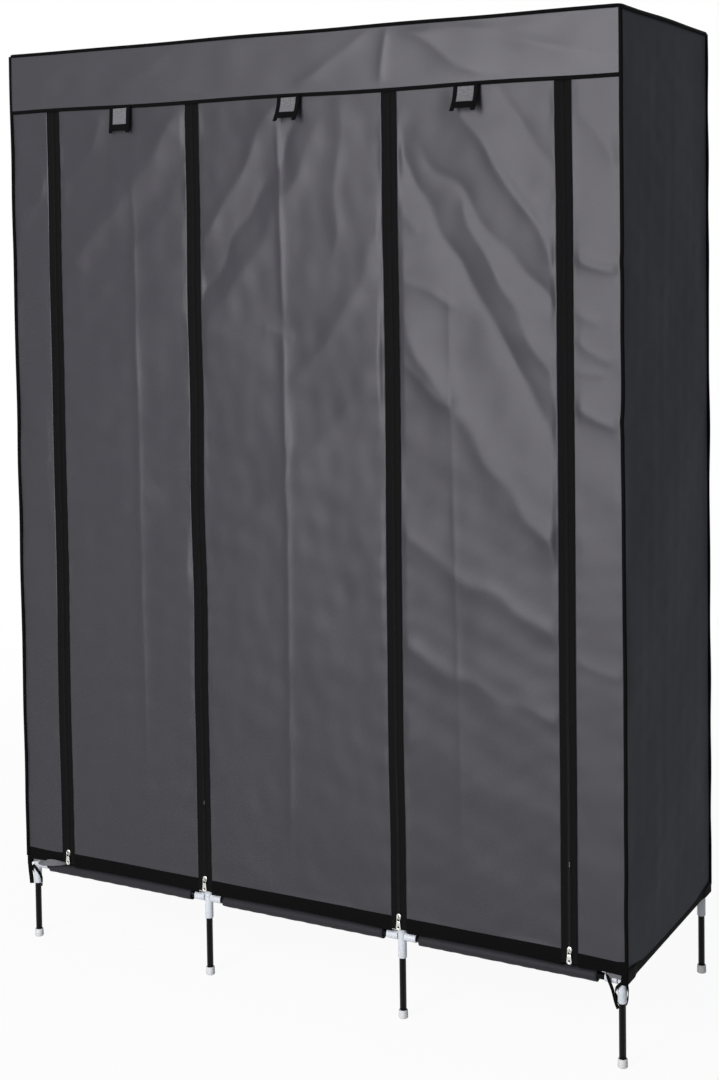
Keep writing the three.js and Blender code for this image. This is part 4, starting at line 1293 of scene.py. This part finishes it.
def add_tape_half(skin, zips, i, side):
    """Half of a zip: a strip of woven tape from the coil out to its sewn edge, which lies on the cloth, with
    its half of the coil's teeth and a row of stitches. Finishes 0, 1 and 2 are the tape, coil and thread. The
    teeth are drawn 2 mm apart, where real ones of this size are about 1.5 mm."""
    def along(z, aside, out):
        """Places up the zip, aside from its middle and out from the front cloth."""
        return np.stack([ZIPS[i] + aside + sway(z, ZIP_SEEDS[i]), -FRONT_FACE - out + 0 * z, z], -1)

    reach = np.array([1.0, 3.2, 3.6, 5.5, 8.0, 11.0, 14.4, 15.0]) * MM * zips.tape_width / 0.030
    lift = -0.00025 + 0.0007 * rising((reach - 0.005) / 0.006) - 0.00025 * rising((reach - 0.0144) / 0.0006)
    front = np.stack([side * reach, lift], -1)
    back = np.stack([side * reach[::-1], lift[::-1] - zips.tape_thickness], -1)
    skin.cord(along(spaced(zips.tape_low, DOOR_TOP, 0.012), 0, 0), np.concatenate([front, back]), (0, -1, 0))
    start = zips.tape_low + 0.003 + (0.5 * zips.tooth_pitch if side > 0 else 0)
    teeth = np.arange(start, DOOR_TOP - 0.002, zips.tooth_pitch)
    tooth = [(0, -0.0009), (0.00036, -0.0007), (0.00052, 0.0006), (0.00044, 0.0027), (0, 0.0029)]
    skin.repeat(turned(tooth, "x", side=side, sides=6), along(teeth, 0, 0.00005), 1)
    seam = np.arange(zips.tape_low + 0.004, DOOR_TOP - 0.004, zips.stitch_pitch)
    skin.repeat(turned(STITCH, "z", sides=5), along(seam, side * 0.0126, 0.00045), 2)


class WARDROBE_OT_doors(bpy.types.Operator):
    """Makes the three roll-up doors: cloth, zip halves and stiff black hems"""
    bl_idname = "wardrobe.doors"
    bl_label = "Doors"

    def execute(self, context):
        cloth, zips = context.scene.wardrobe_cloth, context.scene.wardrobe_zips
        for i, place in enumerate(DOORS):
            hem = self.hem(cloth, zips, place, i)
            halves = self.halves(zips, place, i)
            panel = self.panel(cloth, place, i)
            for piece in (panel, halves):
                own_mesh(piece)
        return {"FINISHED"}

    def panel(self, cloth, place, i):
        """A door's cloth, with the folds and creases of the front where they cross it. Its sides follow the zips
        as they wander."""
        left, right, bottom = ZIPS[i] + CLOTH_EDGE, ZIPS[i + 1] - CLOTH_EDGE, HEM_TOP - HEM_LAP
        share, z = np.meshgrid(spaced(0, 1, 0.75 * cloth.step / (right - left)), spaced(bottom, DOOR_TOP, cloth.step))
        x = left + (right - left) * share + sway(z, ZIP_SEEDS[i]) * (1 - share) + sway(z, ZIP_SEEDS[i + 1]) * share
        main = folded(x, z, DOOR_FOLDS, 0.005) + folded(x, z, DOOR_CREASES, 0.0006)
        main += 0.0009 * ripple(x, z, 91 + i, 0.19) + 0.00028 * ripple(x, z, 95 + i, 0.055)
        relief = sewn(x, z, (left, right, bottom, DOOR_TOP), main, 0.012, 0.0005)
        skin = Skin()
        skin.add(standing(x, z, relief, FRONT_FACE, 0), flat=np.stack([x, z], -1))
        return skin.piece(f"{place}_door_cloth", ["cloth"], [f"{place}_door"], thickness=cloth.thickness)

    def halves(self, zips, place, i):
        """The halves of the two zips that are sewn to a door."""
        skin = Skin()
        add_tape_half(skin, zips, i, 1)
        add_tape_half(skin, zips, i + 1, -1)
        return skin.piece(f"{place}_door_zip_halves", ["tape", "coil", "thread"])

    def hem(self, cloth, zips, place, i):
        """The stiff hem: its lower edge is drawn up along its middle, as a flat arch. At its ends it reaches 4 mm
        below the hem's part, and that black strip is painted shade, standing for the shade on the sleeve under the
        hem.
        """
        node = f"{place}_door_hem"
        inset, face = CLOTH_EDGE + 0.0013, -low(node)[1]
        x = spaced(ZIPS[i] + inset, ZIPS[i + 1] - inset, 0.008)
        share = (x - x[0]) / (x[-1] - x[0])
        rise = 0.004 * 4 * share * (1 - share)
        skin = Skin()
        # the 4 mm below HEM_LOW at the ends is painted shade over the sleeve under the hem
        add_band(skin, x, HEM_LOW - 0.004 + rise, HEM_TOP, face, cloth.hem_thickness, 0)
        stitch(skin, x[0] + 0.003, x[-1] - 0.003, face, HEM_TOP - 0.003, zips.stitch_pitch)
        return skin.piece(f"{node}_band", ["binding", "thread"], [node], body=f"{place}_door_body")


# Zips

def closed_line(points, count):
    """A closed outline through points, with its count of points evenly spaced along it."""
    points = np.array(points, float)
    loop = np.concatenate([points, points[:1]])
    gone = np.append(0, np.cumsum(np.linalg.norm(np.diff(loop, axis=0), axis=1)))
    at = np.arange(count) * gone[-1] / count
    return np.stack([np.interp(at, gone, loop[:, k]) for k in (0, 1)], -1)


def holed_plate(outline, hole, levels, x):
    """A plate with a hole, which faces the front and whose middle lies at a place across and at the pulls'
    pivot: each level of (share, out) lies that share of the way from outline to hole."""
    share, out = (np.array(levels)[:, k, None] for k in (0, 1))
    across, up = (outline[:, k] + (hole[:, k] - outline[:, k]) * share for k in (0, 1))
    return np.stack([x + across, -out + 0 * across, PIVOT + up], -1)


def plate(outline, levels, x):
    """A solid plate in the same place: the outline, drawn in to a share of itself at each level of (share, out)."""
    return holed_plate(outline, 0 * outline, [(1 - share, out) for share, out in levels], x)


class WARDROBE_OT_zips(bpy.types.Operator):
    """Makes the fixed zip halves, the sliders and their pulls"""
    bl_idname = "wardrobe.zips"
    bl_label = "Zips"

    def execute(self, context):
        zips = context.scene.wardrobe_zips
        for name, i, side in (("left", 0, -1), ("right", 3, 1)):
            skin = Skin()
            add_tape_half(skin, zips, i, side)
            skin.piece(f"{name}_fixed_zip_half", ["tape", "coil", "thread"])
        for i, x in enumerate(ZIPS, 1):
            self.slider(x, i)
            self.pull(zips, x, i)
        return {"FINISHED"}

    def slider(self, x, i):
        """A slider: a domed plate in front of the tape and one behind it, a post between them and an arch, a
        round bar bent in half a circle, that the pull hangs on."""
        node = f"zip_slider_{i}"
        half = span(node)[0] / 2
        turn = np.linspace(0, math.pi, 17)
        crown = np.stack([half * np.cos(turn), SLIDER_SIZE / 2 - half + half * np.sin(turn)], -1)
        tail = [(-half * 0.66, -SLIDER_SIZE / 2), (half * 0.66, -SLIDER_SIZE / 2)]
        outline = closed_line(np.concatenate([crown, tail]), 40)
        skin = Skin()
        inner = FRONT_FACE + 0.00005
        dome = [(0, inner), (1, inner), (1, inner + 0.0007), (0.93, inner + 0.0012), (0.8, inner + 0.00145),
                (0.5, inner + 0.0016), (0, inner + 0.0017)]
        skin.solid(plate(outline, dome, x))
        behind = 2 * (FRONT_FACE - 0.0007) - inner
        rear = [(0, behind - 0.0014), (0.95, behind - 0.0014), (1, behind - 0.0009), (1, behind), (0, behind)]
        skin.solid(plate(outline, rear, x))
        post = closed_line([(-0.0008, -0.0025), (0.0008, -0.0025), (0.0008, 0.0025), (-0.0008, 0.0025)], 12)
        sunk = 0.0004
        skin.solid(plate(post, [(0, behind - sunk), (1, behind - sunk), (1, inner + sunk), (0, inner + sunk)], x))
        bend = np.linspace(-math.pi / 2, math.pi / 2, 15)
        bar_x, bar_y = 0.0011, 0.0007
        radius = -low(node)[1] - PULL_PLACE - bar_y
        arch = np.stack([x + 0 * bend, -PULL_PLACE - radius * np.cos(bend), PIVOT + radius * np.sin(bend)], -1)
        feet = [[(x, -inner - 0.0008, PIVOT + side * radius)] for side in (-1, 1)]
        skin.cord(np.concatenate([feet[0], arch, feet[1]]), ring(bar_x, bar_y, 12), (1, 0, 0))
        skin.piece(f"{node}_metal", ["metal"], [node], body=f"slider_{i}_body")

    def pull(self, zips, x, i):
        """A pull: an upper frame round a window, whose bar lies under the slider's arch, and a paddle that
        widens to a round end with a hole in it. Both go round their openings from front to back."""
        node = f"zip_pull_{i}"
        half, thick = span(node)[:2] / (2, 1)
        neck, bar, drop = zips.pull_neck / 2, high(node)[2] - PIVOT, PIVOT - low(node)[2]
        rim, split, edge = 0.0011, -0.008, 0.0003  # the frame's width, its lower end and the rounding of edges
        hole_x, hole_y, hole_up, lap = 0.0017, 0.0022, 0.0055, 0.0002  # the hole, and the paddle's lap on the frame
        face = PULL_PLACE + thick / 2
        rear = face - thick
        levels = [(0, face - edge), (0.15, face), (0.85, face), (1, face - edge), (1, rear + edge), (0.85, rear),
                  (0.15, rear), (0, rear + edge)]
        frame_line = closed_line([(-neck, split), (neck, split), (neck, bar), (-neck, bar)], 48)
        window = closed_line([(-neck + rim, split + rim), (neck - rim, split + rim), (neck - rim, -bar),
                              (-neck + rim, -bar)], 48)
        skin = Skin()
        skin.hoop(holed_plate(frame_line, window, levels, x))
        turn = np.linspace(-math.pi * 1.12, math.pi * 0.12, 25)
        centre = half - drop
        end = np.stack([half * np.cos(turn), centre + half * np.sin(turn)], -1)
        paddle = closed_line(np.concatenate([end, [(neck, split + lap), (-neck, split + lap)]]), 64)
        around = np.arctan2(paddle[:, 1] - centre, paddle[:, 0])
        hole = np.stack([hole_x * np.cos(around), hole_up - drop + hole_y * np.sin(around)], -1)
        skin.hoop(holed_plate(paddle, hole, levels, x))
        skin.piece(f"{node}_metal", ["metal"], [node], body=f"pull_{i}_body")


# Tie loops

class WARDROBE_OT_tie_loops(bpy.types.Operator):
    """Makes the loops that tie up the rolled doors"""
    bl_idname = "wardrobe.tie_loops"
    bl_label = "Tie loops"

    def execute(self, context):
        zips = context.scene.wardrobe_zips
        for place, proud, aside in (("left", 0, 0.004), ("middle", 0.013, 0.008), ("right", 0.013, -0.010)):
            self.loop(zips, place, middle(f"{place}_tie_tab")[0] + aside, proud)
        return {"FINISHED"}

    def loop(self, zips, place, x, proud):
        """Two bands and a bar of black tape round a patch, all along one line that bends out over the binding,
        which leaves room for the rolled door, and then curves outwards as the square of the way down. It stands
        proud at its lower end where a loop has been used, and keeps its length. The bands' ends hang a little
        below the bar, and a row of stitches runs along each edge of a band."""
        skin = Skin()
        thickness, tail, room, soon, seam_inset = 0.002, 0.004, 0.0042, 0.045, 0.0012
        drop, out = TAB_TOP - TAB_LOW, TAB_FRONT - TAB_BACK - thickness
        drop, out = drop - ((out + proud) ** 2 - out ** 2) / (1.5 * drop), out + proud

        def line(start, end, count=36):
            """Places along the loop's line, from one share of the way down to another."""
            share = np.linspace(start, end, count)
            reach = room * (1 - np.exp(-share / soon)) + (out - room) * share ** 2
            return np.stack([x + 0 * share, -(TAB_BACK + thickness / 2 + reach), TAB_TOP - drop * share], -1)

        band = strip_section(zips.tab_band, thickness)
        for side in (-1, 1):
            skin.cord(line(0, 1) + (side * (TAB_WIDTH - zips.tab_band) / 2, 0, 0), band, (0, -1, 0))
        bar_middle = 1 - (tail + zips.tab_bar / 2) / drop
        slope = math.atan(2 * (out - room) * bar_middle / drop)
        across = np.linspace(-TAB_WIDTH / 2 + 0.001, TAB_WIDTH / 2 - 0.001, 8)[:, None] * (1, 0, 0)
        bar = strip_section(zips.tab_bar, thickness * 1.1)
        skin.cord(line(bar_middle, 1, 2)[0] + across, bar, (0, -math.cos(slope), math.sin(slope)))
        patch = strip_section(TAB_WIDTH - 1.4 * zips.tab_band, 0.0009)
        skin.cord(line(0.06, bar_middle), patch, (0, -1, 0), 1)
        seam = line(0.03, 0.97, 12) - (0, thickness / 2, 0)
        for side in (-1, 1):
            for inset in (seam_inset, zips.tab_band - seam_inset):
                skin.repeat(turned(STITCH, "z", sides=5), seam + (side * (TAB_WIDTH / 2 - inset), 0, 0), 2)
        skin.piece(f"{place}_tie_loop", ["binding", "patch", "thread"], [f"{place}_tie_tab"],
                   body=f"{place}_tab_body")


class WARDROBE_PT_panel(bpy.types.Panel):
    """Lists the wardrobe's operators and sizes"""
    bl_idname = "WARDROBE_PT_panel"
    bl_label = "Wardrobe"
    bl_space_type = "VIEW_3D"
    bl_region_type = "UI"
    bl_category = "Wardrobe"

    def draw(self, context):
        for operator in OPERATORS:
            self.layout.operator(operator.bl_idname)
        for name, group in GROUPS.items():
            box = self.layout.box()
            for field in group.__annotations__:
                box.prop(getattr(context.scene, name), field)


GROUPS = {
    "wardrobe_frame": WardrobeFrame,
    "wardrobe_cloth": WardrobeCloth,
    "wardrobe_zips": WardrobeZips,
    "wardrobe_colours": WardrobeColours,
    "wardrobe_stage": WardrobeStage,
}
OPERATORS = (
    WARDROBE_OT_stage,
    WARDROBE_OT_tubes,
    WARDROBE_OT_fittings,
    WARDROBE_OT_shelves,
    WARDROBE_OT_cover,
    WARDROBE_OT_trim,
    WARDROBE_OT_doors,
    WARDROBE_OT_zips,
    WARDROBE_OT_tie_loops,
)


def register():
    for item in (*GROUPS.values(), *OPERATORS, WARDROBE_PT_panel):
        bpy.utils.register_class(item)
    for name, group in GROUPS.items():
        setattr(bpy.types.Scene, name, PointerProperty(type=group))


def unregister():
    for name in GROUPS:
        delattr(bpy.types.Scene, name)
    for item in reversed((*GROUPS.values(), *OPERATORS, WARDROBE_PT_panel)):
        bpy.utils.unregister_class(item)


def main():
    """Builds the wardrobe."""
    register()
    for operator in OPERATORS:
        family, name = operator.bl_idname.split(".")
        getattr(getattr(bpy.ops, family), name)()
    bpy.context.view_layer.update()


if __name__ == "__main__":
    main()
